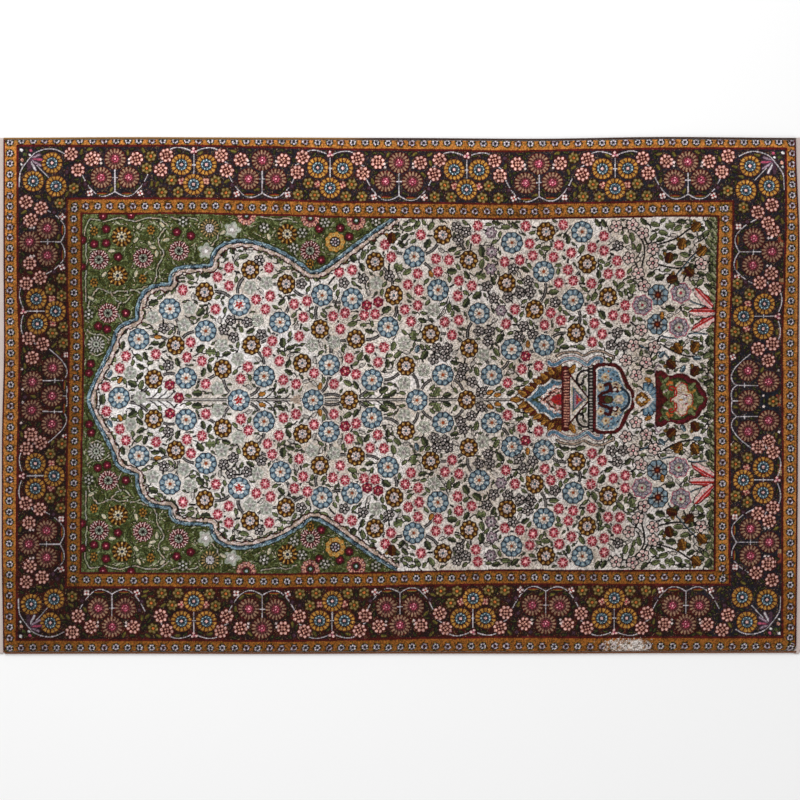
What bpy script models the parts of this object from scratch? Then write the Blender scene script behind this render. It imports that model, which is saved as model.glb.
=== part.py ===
"""Oriental prayer rug, lying flat on the floor.

It is built from the pieces that a rug weaver makes: the knotted rug itself, which is one thick
cloth of foundation and pile, an overcast cord along each long side, and a flat-woven web at each
end whose warps run out as a knotted fringe. Metres, +Z up. The origin is on the floor under the
middle, +X runs along the length towards the foot of the niche, and +Y runs across the width.
"""

import math
import random

import bmesh
import bpy

# Driving dimensions of the whole rug
PILE_LENGTH = 1.850
RUG_WIDTH = 1.200
THICKNESS = 0.0080
ROLL = 0.0006  # how far the worn pile rises and sinks about its thickness
CORD_DIAMETER = 0.0050
WEB_LENGTH = 0.012
WEB_THICKNESS = 0.0020
FRINGE_LENGTH = 0.045
GAP = 0.0004  # between pieces that touch

# The trimmed rim of the pile leans in and is lower than the pile behind it
RIM_LEAN = 0.0015
RIM_HEIGHT = 0.0062
SHOULDER = 0.0060  # from the edge to the full height of the pile

# How far inside the outermost line each edge lies, in millimetres, at even steps along it.
# Sides run from -X to +X: far is the +Y side. Ends run from -Y to +Y: left is the -X end.
SIDE_INSET_MM = {
    "far": (2.0, 0.5, 1.5, 2.5, 4.3, 0.0, 2.3),
    "near": (0.2, 0.7, 0.0, 0.9, 0.7, 1.8, 2.5),
}
END_INSET_MM = {
    "left": (3.5, 0.0, 0.5, 5.5, 4.2, 4.2),
    "right": (7.0, 4.6, 3.5, 1.5, 0.0, 8.0),
}

# How finely the surfaces are divided
LENGTH_STEPS = 32
WIDTH_STEPS = 24
CORD_POINTS = 49
CORD_BEVEL = 2

# The fringe: knotted locks of warp, in groups that share one stretch of the web's inner edge
LOCKS = 100
LOCKS_IN_GROUP = 4
ROOT_WIDTH = 0.0044
LOCK_SECTIONS = (
    {"place": "knot", "along": 0.18, "width": 0.0060, "height": 0.0036, "sway": 0.0},
    {"place": "neck", "along": 0.34, "width": 0.0036, "height": 0.0022, "sway": 0.2},
    {"place": "tip", "along": 1.00, "width": 0.0052, "height": 0.0014, "sway": 1.0},
)
SLOW_SWAY = 0.0030  # neighbouring locks lean together, in waves along the web
SWAY_TURN = 0.35  # radians from one lock to the next
LOCK_SWAY = 0.0008
LENGTH_SPREAD = 0.08  # the share of its length by which a lock may be shorter

# Linear base colour and roughness of each yarn; none of them is metal
YARNS = {
    "wool_pile": ((0.19, 0.11, 0.07), 0.92),
    "side_wool": ((0.07, 0.02, 0.015), 0.88),
    "warp_cotton": ((0.62, 0.52, 0.46), 0.90),
}

HALF_LENGTH = PILE_LENGTH / 2
HALF_WIDTH = RUG_WIDTH / 2
OUTWARD = {"left": -1, "right": 1, "near": -1, "far": 1}


def clear_scene():
    """Removes whatever the file holds before the rug is made."""
    for item in list(bpy.data.objects):
        bpy.data.objects.remove(item, do_unlink=True)


def yarn_material(name):
    """The plain material of one yarn."""
    colour, roughness = YARNS[name]
    made = bpy.data.materials.new(name)
    made.use_nodes = True
    shader = made.node_tree.nodes["Principled BSDF"]
    shader.inputs["Base Color"].default_value = (*colour, 1.0)
    shader.inputs["Roughness"].default_value = roughness
    shader.inputs["Metallic"].default_value = 0.0
    return made


def link(data, name, yarn):
    """Puts a finished mesh or curve into the scene as one named piece."""
    made = bpy.data.objects.new(name, data)
    made.data.materials.append(yarn)
    bpy.context.scene.collection.objects.link(made)
    return made


def eased(values, share):
    """The value at a share of the way along evenly spaced values, joined by smooth steps."""
    place = min(max(share, 0.0), 1.0) * (len(values) - 1)
    first = min(int(place), len(values) - 2)
    part = place - first
    smooth = part * part * (3 - 2 * part)
    return values[first] * (1 - smooth) + values[first + 1] * smooth


def side_y(side, x):
    """The outer line of a long side, at x."""
    inset = eased(SIDE_INSET_MM[side], (x + HALF_LENGTH) / PILE_LENGTH) / 1000
    return OUTWARD[side] * (HALF_WIDTH - inset)


def end_x(end, y):
    """The line at which the pile stops, at y."""
    inset = eased(END_INSET_MM[end], (y + HALF_WIDTH) / RUG_WIDTH) / 1000
    return OUTWARD[end] * (HALF_LENGTH - inset)


def pile_point(along, across, lean):
    """Where a share of the pile's length and width lies, with its outline drawn in by the lean."""
    y = (2 * across - 1) * HALF_WIDTH
    left, right = end_x("left", y) + lean, end_x("right", y) - lean
    x = left + (right - left) * along
    rim = CORD_DIAMETER + GAP + lean
    near, far = side_y("near", x) + rim, side_y("far", x) - rim
    return x, near + (far - near) * across


def pile_height(x, y):
    """The worn pile's height, which rises and sinks in long soft rolls."""
    roll = math.sin(9.0 * x + 1.7 * math.sin(4.0 * y)) + 0.6 * math.sin(13.0 * y - 5.0 * x)
    return THICKNESS + ROLL * roll / 1.6


def line_share(number, steps, length):
    """Where one of the pile's grid lines lies: an edge, a shoulder, or evenly between them."""
    shoulder = SHOULDER / length
    if number in (0, steps):
        return number / steps
    return shoulder + (number - 1) / (steps - 2) * (1 - 2 * shoulder)


def knotted_rug(yarn):
    """The foundation and pile as one thick cloth. A grid is extruded down to the floor, laid out to
    the rug's uneven outline, and its rim is lowered and leans in where the pile was trimmed."""
    shape = bmesh.new()
    bmesh.ops.create_grid(shape, x_segments=LENGTH_STEPS, y_segments=WIDTH_STEPS, size=0.5)
    base_faces = list(shape.faces)
    base = set(shape.verts)
    bmesh.ops.extrude_face_region(shape, geom=base_faces, use_keep_orig=True)
    for vertex in shape.verts:
        column = round((vertex.co.x + 0.5) * LENGTH_STEPS)
        row = round((vertex.co.y + 0.5) * WIDTH_STEPS)
        along = line_share(column, LENGTH_STEPS, PILE_LENGTH)
        across = line_share(row, WIDTH_STEPS, RUG_WIDTH)
        if vertex in base:
            vertex.co = (*pile_point(along, across, 0.0), 0.0)
            continue
        x, y = pile_point(along, across, RIM_LEAN)
        on_rim = column in (0, LENGTH_STEPS) or row in (0, WIDTH_STEPS)
        vertex.co = (x, y, RIM_HEIGHT if on_rim else pile_height(x, y))
    bmesh.ops.dissolve_faces(shape, faces=base_faces, use_verts=False)
    bmesh.ops.recalc_face_normals(shape, faces=shape.faces)
    mesh = bpy.data.meshes.new("knotted_rug")
    shape.to_mesh(mesh)
    shape.free()
    mesh.shade_smooth()
    mesh.set_sharp_from_angle(angle=math.radians(40))
    return link(mesh, "knotted_rug", yarn)


def side_cord(side, yarn):
    """The overcast edge: a round cord of wrapped warps that follows one long side on the floor."""
    name = "side_cord_" + side
    radius = CORD_DIAMETER / 2
    line = bpy.data.curves.new(name, "CURVE")
    line.dimensions = "3D"
    line.bevel_depth = radius
    line.bevel_resolution = CORD_BEVEL
    line.use_fill_caps = True
    spline = line.splines.new("POLY")
    spline.points.add(CORD_POINTS - 1)
    corner = OUTWARD[side] * HALF_WIDTH
    left, right = end_x("left", corner), end_x("right", corner)
    for number, point in enumerate(spline.points):
        x = left + (right - left) * number / (CORD_POINTS - 1)
        point.co = (x, side_y(side, x) - OUTWARD[side] * radius, radius, 1.0)
    return link(line, name, yarn)


def web_point(shape, end, share, reach):
    """A bottom point and a top point of the web, at a share of its width and a reach outwards."""
    corner = OUTWARD[end] * HALF_LENGTH
    near, far = side_y("near", corner), side_y("far", corner)
    y = near + (far - near) * share
    x = end_x(end, y) + OUTWARD[end] * reach
    return shape.verts.new((x, y, 0.0)), shape.verts.new((x, y, WEB_THICKNESS))


def wall(shape, first, second):
    """An upright face between two pairs of bottom and top points."""
    return shape.faces.new((first[0], second[0], second[1], first[1]))


def woven_web(shape, end):
    """The flat-woven strip. Its outer edge has a small face for each lock to grow from, and
    those faces are returned in order."""
    half_root = ROOT_WIDTH / RUG_WIDTH / 2
    groups = LOCKS // LOCKS_IN_GROUP
    inside = [web_point(shape, end, number / groups, GAP) for number in range(groups + 1)]
    shares = [0.0]
    for number in range(LOCKS):
        middle = (number + 0.5) / LOCKS
        shares += [middle - half_root, middle + half_root]
    shares.append(1.0)
    outside = [web_point(shape, end, share, GAP + WEB_LENGTH) for share in shares]
    outer_walls = [wall(shape, first, second) for first, second in zip(outside, outside[1:])]
    for group in range(groups):
        first = 2 * LOCKS_IN_GROUP * group
        last = len(outside) - 1 if group == groups - 1 else first + 2 * LOCKS_IN_GROUP
        for level in (0, 1):
            edge = [pair[level] for pair in outside[first:last + 1]]
            shape.faces.new([inside[group][level], *edge, inside[group + 1][level]])
        wall(shape, inside[group], inside[group + 1])
    wall(shape, inside[0], outside[0])
    wall(shape, inside[-1], outside[-1])
    bmesh.ops.recalc_face_normals(shape, faces=shape.faces)
    return outer_walls[1::2]


def grow_lock(shape, root, end, number, chance):
    """Extrudes one knotted lock of warps out of its root, section by section, level on the floor."""
    start = root.calc_center_median()
    length = FRINGE_LENGTH * (1 - LENGTH_SPREAD * chance.random())
    sway = SLOW_SWAY * math.sin(SWAY_TURN * number) + LOCK_SWAY * chance.uniform(-1, 1)
    face = root
    for section in LOCK_SECTIONS:
        face = bmesh.ops.extrude_discrete_faces(shape, faces=[face])["faces"][0]
        middle = face.calc_center_median()
        x = start.x + OUTWARD[end] * length * section["along"]
        for vertex in face.verts:
            side = math.copysign(section["width"] / 2, vertex.co.y - middle.y)
            height = section["height"] if vertex.co.z > middle.z else 0.0
            vertex.co = (x, start.y + sway * section["sway"] + side, height)


def fringed_end(end, yarn, seed):
    """The flat-woven web beyond the pile, with its warps running out as knotted locks."""
    shape = bmesh.new()
    roots = woven_web(shape, end)
    chance = random.Random(seed)
    for number, root in enumerate(roots):
        grow_lock(shape, root, end, number, chance)
    mesh = bpy.data.meshes.new("fringed_end_" + end)
    shape.to_mesh(mesh)
    shape.free()
    return link(mesh, "fringed_end_" + end, yarn)


def main():
    """Makes the rug's five pieces."""
    clear_scene()
    wool, side_wool, cotton = (yarn_material(name) for name in YARNS)
    knotted_rug(wool)
    for side in SIDE_INSET_MM:
        side_cord(side, side_wool)
    for seed, end in enumerate(END_INSET_MM):
        fringed_end(end, cotton, seed)


main()
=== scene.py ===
"""Dresses the oriental prayer rug.

The pattern is tied knot by knot on a chart: small flower, leaf and wheel motifs are drawn from
petal counts and sizes, and set out at listed places over the field, the spandrels and the borders. The pile,
which is made as five lengthwise bands, and the woven back take their colours from that chart. The
overcast sides, the webs and the fringe are modelled yarn by yarn.
"""

import math
import random

import bpy
import numpy as np
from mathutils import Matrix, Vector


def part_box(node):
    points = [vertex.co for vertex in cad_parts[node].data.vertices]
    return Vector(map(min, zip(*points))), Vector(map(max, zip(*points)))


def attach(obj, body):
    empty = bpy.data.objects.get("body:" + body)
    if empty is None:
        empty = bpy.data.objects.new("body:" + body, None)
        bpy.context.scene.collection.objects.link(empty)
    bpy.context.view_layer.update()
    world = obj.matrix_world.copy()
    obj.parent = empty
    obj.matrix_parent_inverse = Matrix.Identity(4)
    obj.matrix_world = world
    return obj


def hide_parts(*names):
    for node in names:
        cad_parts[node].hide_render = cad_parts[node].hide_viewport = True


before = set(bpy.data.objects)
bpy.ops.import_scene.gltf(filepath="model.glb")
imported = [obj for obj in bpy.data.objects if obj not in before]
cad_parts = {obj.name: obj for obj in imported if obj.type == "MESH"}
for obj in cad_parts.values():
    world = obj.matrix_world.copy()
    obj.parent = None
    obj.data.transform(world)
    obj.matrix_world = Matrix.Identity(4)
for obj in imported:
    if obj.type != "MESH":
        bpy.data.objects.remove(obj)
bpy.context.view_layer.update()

# Sizes in metres, those of the rug itself read from the frame
RUG_LOW, RUG_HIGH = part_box("knotted_rug")
FAR_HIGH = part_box("side_cord_far")[1]
NEAR_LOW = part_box("side_cord_near")[0]
PILE_LENGTH = RUG_HIGH[0] - RUG_LOW[0]
PILE_HEIGHT = 0.0080
ROLL = 0.0006  # how far the worn pile rises and sinks about its height
RIM_HEIGHT = 0.0060  # of the trimmed rim, which leans in by the next measure
RIM_LEAN = 0.0015
SHOULDER = 0.0070  # from the rim to the full height of the pile
TUFT_LIFT = 0.00022  # by which one tuft may stand higher than the next
RIM_REACH = 2.5 * RIM_LEAN  # points this near to the outline are on the rim
RIM_STEP = 0.001  # how far the rim is extruded before its foot is put on the floor
MAP_MARGIN = 0.004  # kept free round each half of a band's flat map, as a share
OUTWARD = {"left": -1, "right": 1, "near": -1, "far": 1}  # along x at the ends and y at the sides
ENDS = ("left", "right")
SIDES = ("far", "near")

# The pile is modelled in blocks of two by two knots, each block one face
BLOCKS_ALONG = 764
BLOCKS_ACROSS = 492
BAND_BLOCKS = {"far_border": 75, "far_field": 113, "axis_field": 113, "near_field": 113, "near_border": 78}
KNOTS_ALONG = 2 * BLOCKS_ALONG
KNOTS_ACROSS = 2 * BLOCKS_ACROSS
BACK_BLOCKS_ALONG = 264
BACK_BLOCKS_ACROSS = 170

# The chart's own unit is one pixel of the photograph, with u to the right and v to the near side
UNIT = 0.002318
MIDDLE_U, MIDDLE_V = 400.5, 395.45  # the middle of the rug's outline
AXIS = 399.7  # the pattern of the field is mirrored about this line
NEAR_SHARE = 0.932  # the near half is beaten down tighter, and is this much narrower
KNOT = PILE_LENGTH / KNOTS_ALONG
KNOTS_A_UNIT = UNIT / KNOT
PAST_AXIS = 401  # an outline that ends here closes across the axis
TURNS = 24  # the directions in which a leaf can point
TURN = 360 // TURNS
LEAF_RIM = 0.85
LEAF_TIP = 1.0
VEIN = 0.3
WHITE_LINE = 0.75
FLECK_LEVEL = 0.6  # where the chart's soft noise is above this, a fill takes its second yarn
STRAY_SHARE = 0.13  # of the knots, those that may be tied in the next shade

# Yarns, as sRGB
YARNS = {
    "ivory": "D6CFC8",
    "warm ivory": "C4B7A9",
    "silver": "DDD8D7",
    "charcoal": "211E1F",
    "slate": "3C3940",
    "stone": "7E7A7C",
    "pale stone": "A9A29C",
    "navy": "293244",
    "denim": "506B80",
    "sky": "8DA1AC",
    "pale sky": "A6B9BC",
    "leaf": "616B49",
    "dark leaf": "383F34",
    "light leaf": "7C8658",
    "pale leaf": "A09F84",
    "ghost green": "A1A597",
    "ghost lilac": "ACA2A0",
    "crimson": "9F2046",
    "blush": "D4ABA6",
    "rose": "EFA3AA",
    "pale rose": "F2CBCB",
    "plum": "6B173B",
    "red": "A91E14",
    "dark gold": "684304",
    "gold": "9F7104",
    "bright gold": "B68404",
    "pale gold": "C2A258",
    "guard gold": "98600A",
    "guard amber": "B67812",
    "umber": "361D04",
    "rust": "944504",
    "orange": "BB6A04",
    "lilac": "9F8996",
    "lilac white": "BBB3B6",
    "shell": "D2C1BC",
    "moss": "414924",
    "dark moss": "2C2F16",
    "green": "515C31",
    "aubergine": "351E1F",
    "ink": "24191C",
    "purple": "51394E",
    "wine": "641D27",
    "maroon": "451511",
    "dark red": "541A14",
    "salmon": "CA927D",
    "cerise": "AD5070",
    "tan": "957C57",
    "mauve": "693C3F",
    "olive": "6D6227",
    "cream": "C1B59E",
    "blue": "6085A0",
    "steel": "70889A",
    "night": "252432",
    "clay": "937460",
    "niche blue": "7E9EAC",
    "taupe": "B39C8A",
    "white": "D7D3D1",
}
NUMBER = {name: place + 1 for place, name in enumerate(YARNS)}

# Flowers, as layers from the lowest up. Each layer: its shape, how far it reaches in units, the
# number of its lobes, petals or rays, its depth (of the lobes as a share, or the width of rays and
# dots in units) and its yarn.
FLOWERS = {
    "blue rosette": (
        ("disc", 11.9, 0, 0.0, "ivory"), ("disc", 11.0, 9, -0.03, "navy"),
        ("disc", 10.0, 9, -0.05, "steel"), ("dots", 8.0, 9, 1.3, "sky"), ("dots", 8.6, 9, 0.85, "pale sky"),
        ("rays", 10.8, 9, 1.2, "navy"), ("disc", 5.9, 9, 0.05, "denim"), ("disc", 5.1, 9, 0.09, "ivory"),
        ("dots", 3.7, 9, 0.6, "pale stone"), ("disc", 2.6, 5, 0.2, "taupe"), ("disc", 1.5, 4, 0.2, "rust"),
    ),
    "red-hearted rosette": (
        ("disc", 12.0, 0, 0.0, "ivory"), ("disc", 11.1, 9, -0.03, "navy"),
        ("disc", 10.1, 9, -0.05, "steel"), ("dots", 8.1, 9, 1.4, "sky"), ("dots", 8.6, 9, 0.6, "pale sky"),
        ("rays", 10.9, 9, 1.1, "navy"), ("disc", 6.0, 9, 0.06, "silver"), ("dots", 4.7, 8, 0.7, "stone"),
        ("disc", 3.4, 5, 0.25, "red"), ("dots", 1.4, 3, 0.6, "blush"),
    ),
    "dark blue rosette": (
        ("disc", 11.6, 0, 0.0, "ivory"), ("disc", 10.6, 8, -0.04, "charcoal"),
        ("disc", 9.6, 8, -0.05, "steel"), ("dots", 8.1, 8, 1.2, "sky"), ("rays", 10.2, 8, 1.3, "charcoal"),
        ("disc", 5.8, 8, 0.12, "slate"), ("dots", 4.4, 8, 1.0, "pale stone"),
        ("disc", 3.4, 8, 0.16, "maroon"), ("disc", 1.3, 0, 0.0, "rust"),
    ),
    "gold rosette": (
        ("disc", 10.6, 0, 0.0, "ivory"), ("disc", 9.9, 9, -0.05, "umber"),
        ("disc", 8.9, 9, -0.05, "dark gold"), ("dots", 7.2, 9, 1.35, "gold"),
        ("dots", 7.9, 9, 0.9, "pale gold"), ("rays", 9.7, 9, 1.1, "umber"), ("disc", 5.3, 8, 0.05, "umber"),
        ("disc", 4.4, 8, 0.12, "shell"), ("dots", 3.0, 6, 0.75, "stone"), ("disc", 1.6, 4, 0.15, "denim"),
    ),
    "crimson flower": (
        ("disc", 6.5, 0, 0.0, "shell"), ("disc", 5.4, 7, 0.10, "wine"), ("disc", 5.0, 7, 0.16, "crimson"),
        ("rays", 5.8, 7, 0.5, "blush"), ("disc", 2.2, 7, 0.15, "rose"), ("disc", 1.0, 0, 0.0, "pale rose"),
    ),
    "plum flower": (
        ("disc", 6.2, 0, 0.0, "shell"), ("disc", 5.4, 6, 0.10, "plum"), ("dots", 3.3, 6, 1.1, "crimson"),
        ("dots", 3.3, 3, 0.8, "salmon"), ("disc", 1.2, 4, 0.1, "rose"),
    ),
    "ghost flower": (
        ("disc", 6.6, 5, 0.10, "pale stone"), ("disc", 6.0, 5, 0.10, "ghost green"),
        ("rays", 6.2, 5, 0.6, "silver"), ("dots", 3.7, 5, 0.7, "stone"),
        ("disc", 2.4, 5, 0.10, "ghost lilac"), ("disc", 1.0, 0, 0.0, "stone"),
    ),
    "outline flower": (
        ("dots", 3.4, 5, 2.6, "charcoal"), ("dots", 3.5, 5, 1.35, "ghost lilac"),
        ("dots", 3.9, 5, 0.6, "slate"), ("disc", 1.6, 0, 0.0, "charcoal"), ("disc", 0.9, 0, 0.0, "silver"),
    ),
    "pale flower": (
        ("dots", 3.9, 5, 3.1, "charcoal"), ("dots", 3.9, 5, 2.0, "shell"), ("dots", 4.3, 5, 0.8, "blush"),
        ("disc", 2.1, 0, 0.0, "charcoal"), ("disc", 1.0, 0, 0.0, "rose"),
    ),
    "lilac flower": (
        ("dots", 3.9, 6, 2.5, "slate"), ("dots", 3.9, 6, 1.7, "lilac"),
        ("disc", 2.5, 6, 0.10, "lilac white"), ("disc", 1.1, 0, 0.0, "navy"),
    ),
    "great lilac flower": (
        ("disc", 11.2, 0, 0.0, "ivory"), ("disc", 10.2, 7, 0.06, "cerise"), ("disc", 9.3, 7, 0.07, "lilac"),
        ("dots", 7.2, 7, 1.5, "denim"), ("dots", 7.0, 7, 0.7, "lilac white"),
        ("rays", 9.2, 7, 1.1, "lilac white"), ("disc", 5.3, 7, 0.10, "purple"),
        ("disc", 4.3, 7, 0.12, "ghost green"), ("dots", 2.6, 5, 0.8, "shell"),
        ("disc", 1.5, 4, 0.1, "crimson"),
    ),
    "ring flower": (
        ("disc", 10.2, 12, 0.05, "maroon"), ("rays", 9.9, 12, 0.95, "blush"),
        ("dots", 8.7, 12, 0.65, "shell"), ("dots", 6.9, 12, 0.6, "plum"), ("disc", 5.3, 9, 0.05, "maroon"),
        ("disc", 4.2, 9, 0.10, "ghost green"), ("rays", 4.5, 9, 0.8, "dark moss"),
        ("disc", 1.5, 0, 0.0, "ink"),
    ),
    "pink ring flower": (
        ("disc", 9.6, 10, 0.05, "wine"), ("rays", 9.4, 10, 2.1, "salmon"), ("dots", 7.9, 10, 0.7, "blush"),
        ("disc", 5.0, 9, 0.05, "plum"), ("disc", 3.6, 8, 0.12, "dark moss"),
        ("disc", 1.4, 0, 0.0, "pale sky"),
    ),
    "white ring flower": (
        ("disc", 9.0, 12, 0.05, "dark moss"), ("rays", 8.6, 14, 1.25, "pale stone"),
        ("dots", 7.0, 7, 0.7, "white"), ("disc", 4.2, 10, 0.05, "dark moss"),
        ("disc", 3.0, 8, 0.20, "ghost green"), ("disc", 1.3, 0, 0.0, "ink"),
    ),
    "spandrel gold": (
        ("disc", 10.2, 10, 0.05, "umber"), ("rays", 9.9, 12, 1.6, "gold"),
        ("dots", 8.4, 6, 0.8, "pale gold"), ("disc", 5.6, 10, 0.05, "umber"),
        ("disc", 4.4, 8, 0.12, "cream"), ("dots", 3.4, 8, 0.8, "olive"), ("disc", 1.8, 0, 0.0, "navy"),
    ),
    "spandrel wheel": (
        ("disc", 10.0, 9, 0.04, "dark moss"), ("rays", 9.6, 16, 1.0, "tan"),
        ("dots", 8.4, 8, 0.8, "pale gold"), ("disc", 5.2, 9, 0.05, "dark moss"),
        ("dots", 3.4, 8, 1.0, "lilac white"), ("disc", 2.3, 6, 0.10, "lilac white"),
        ("disc", 1.1, 0, 0.0, "navy"),
    ),
    "yellow rosette": (
        ("disc", 10.6, 9, 0.06, "dark moss"), ("disc", 9.7, 9, 0.07, "bright gold"),
        ("dots", 7.4, 9, 1.5, "pale gold"), ("dots", 7.4, 9, 0.6, "olive"), ("disc", 5.4, 9, 0.05, "ink"),
        ("dots", 3.4, 7, 0.85, "lilac white"), ("disc", 1.3, 0, 0.0, "lilac"),
    ),
    "small gold": (
        ("disc", 5.4, 7, 0.14, "dark moss"), ("dots", 3.5, 7, 1.1, "gold"), ("disc", 2.1, 0, 0.0, "umber"),
        ("disc", 1.0, 0, 0.0, "bright gold"),
    ),
    "magenta dot": (
        ("disc", 5.2, 4, 0.06, "dark moss"), ("disc", 4.2, 5, 0.10, "maroon"),
        ("dots", 2.3, 5, 1.0, "plum"), ("disc", 1.2, 4, 0.10, "crimson"), ("disc", 0.6, 0, 0.0, "rose"),
    ),
    "white star": (
        ("disc", 6.0, 6, 0.16, "dark moss"), ("dots", 3.8, 6, 1.15, "pale stone"),
        ("disc", 2.0, 4, 0.2, "dark moss"), ("disc", 1.1, 4, 0.2, "white"),
    ),
    "ghost star": (
        ("disc", 7.2, 5, 0.20, "ghost green"), ("disc", 4.6, 5, 0.16, "pale stone"),
        ("disc", 1.8, 5, 0.10, "silver"),
    ),
    "gold wheel": (
        ("disc", 10.9, 0, 0.0, "maroon"), ("disc", 10.4, 14, 0.0, "gold"),
        ("dots", 8.7, 14, 1.1, "bright gold"), ("dots", 9.0, 7, 0.95, "pale gold"),
        ("rays", 10.9, 14, 1.1, "maroon"), ("disc", 6.3, 0, 0.0, "ink"), ("rays", 5.6, 9, 1.1, "denim"),
        ("dots", 4.6, 9, 0.7, "pale sky"), ("disc", 2.6, 9, 0.1, "ink"), ("disc", 1.5, 4, 0.1, "blush"),
    ),
    "mauve wheel": (
        ("disc", 10.9, 0, 0.0, "maroon"), ("rays", 10.3, 16, 1.55, "clay"), ("dots", 9.2, 8, 0.7, "tan"),
        ("disc", 6.5, 16, -0.05, "mauve"), ("dots", 5.4, 12, 0.7, "ink"), ("disc", 4.2, 0, 0.0, "wine"),
        ("dots", 2.6, 7, 0.9, "cerise"), ("dots", 2.9, 3, 0.5, "rose"), ("disc", 1.0, 4, 0.1, "rose"),
    ),
    "pink daisy": (
        ("disc", 7.3, 8, -0.05, "maroon"), ("dots", 5.3, 8, 1.55, "salmon"), ("dots", 5.7, 8, 0.9, "blush"),
        ("rays", 7.0, 8, 1.0, "maroon"), ("disc", 3.3, 4, 0.1, "maroon"), ("dots", 1.9, 4, 0.95, "salmon"),
    ),
    "pink bud": (
        ("disc", 4.2, 4, 0.10, "maroon"), ("dots", 2.2, 4, 1.3, "salmon"), ("disc", 1.0, 0, 0.0, "crimson"),
    ),
    "red bud": (
        ("disc", 3.9, 4, 0.10, "maroon"), ("dots", 2.1, 3, 1.25, "blush"), ("disc", 1.1, 0, 0.0, "cerise"),
    ),
    "olive star": (
        ("disc", 5.9, 6, 0.10, "umber"), ("dots", 3.6, 6, 1.75, "olive"), ("dots", 4.0, 6, 0.9, "tan"),
        ("disc", 2.1, 5, 0.1, "umber"), ("disc", 1.4, 0, 0.0, "orange"),
    ),
    "white chip": (
        ("disc", 3.8, 4, 0.10, "maroon"), ("dots", 2.1, 4, 1.15, "shell"), ("disc", 0.8, 0, 0.0, "red"),
    ),
    "cream flower": (
        ("dots", 2.6, 5, 1.9, "taupe"), ("dots", 2.5, 5, 1.5, "cream"), ("disc", 1.3, 5, 0.1, "gold"),
        ("disc", 0.6, 0, 0.0, "rust"),
    ),
    "white dash": (("disc", 1.1, 4, 0.1, "shell"),),
    "night fleck": (
        ("disc", 3.0, 4, 0.2, "aubergine"), ("disc", 1.6, 4, 0.2, "purple"),
    ),
    "guard star": (
        ("dots", 4.2, 6, 0.8, "olive"), ("disc", 4.0, 6, 0.10, "umber"), ("disc", 3.5, 6, 0.12, "ink"),
        ("dots", 2.3, 6, 0.8, "lilac white"), ("dots", 2.4, 3, 0.7, "lilac"),
        ("disc", 1.1, 0, 0.0, "night"),
    ),
    "dark guard star": (
        ("dots", 4.2, 6, 0.9, "dark moss"), ("disc", 3.7, 6, 0.12, "umber"), ("dots", 2.3, 6, 0.8, "lilac"),
        ("dots", 2.4, 3, 0.75, "lilac white"), ("disc", 1.0, 0, 0.0, "umber"),
    ),
}

# Flowers that are narrower along the rug than across it, and by how much
NARROW = {"gold rosette": 0.94, "crimson flower": 0.94, "small gold": 0.85}

# A shade next to each yarn's own, which the weaver took for a knot here and there
STRAY_YARNS = {
    "ivory": "warm ivory",
    "silver": "ivory",
    "warm ivory": "silver",
    "sky": "pale sky",
    "denim": "navy",
    "blue": "denim",
    "niche blue": "denim",
    "crimson": "wine",
    "rose": "crimson",
    "shell": "blush",
    "gold": "dark gold",
    "bright gold": "gold",
    "dark gold": "umber",
    "leaf": "dark leaf",
    "light leaf": "leaf",
    "dark leaf": "charcoal",
    "green": "dark moss",
    "moss": "olive",
    "dark moss": "green",
    "cream": "pale gold",
    "salmon": "mauve",
    "lilac": "purple",
    "taupe": "stone",
    "white": "pale stone",
    "maroon": "wine",
    "wine": "maroon",
    "guard amber": "guard gold",
    "guard gold": "dark gold",
}

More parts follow.
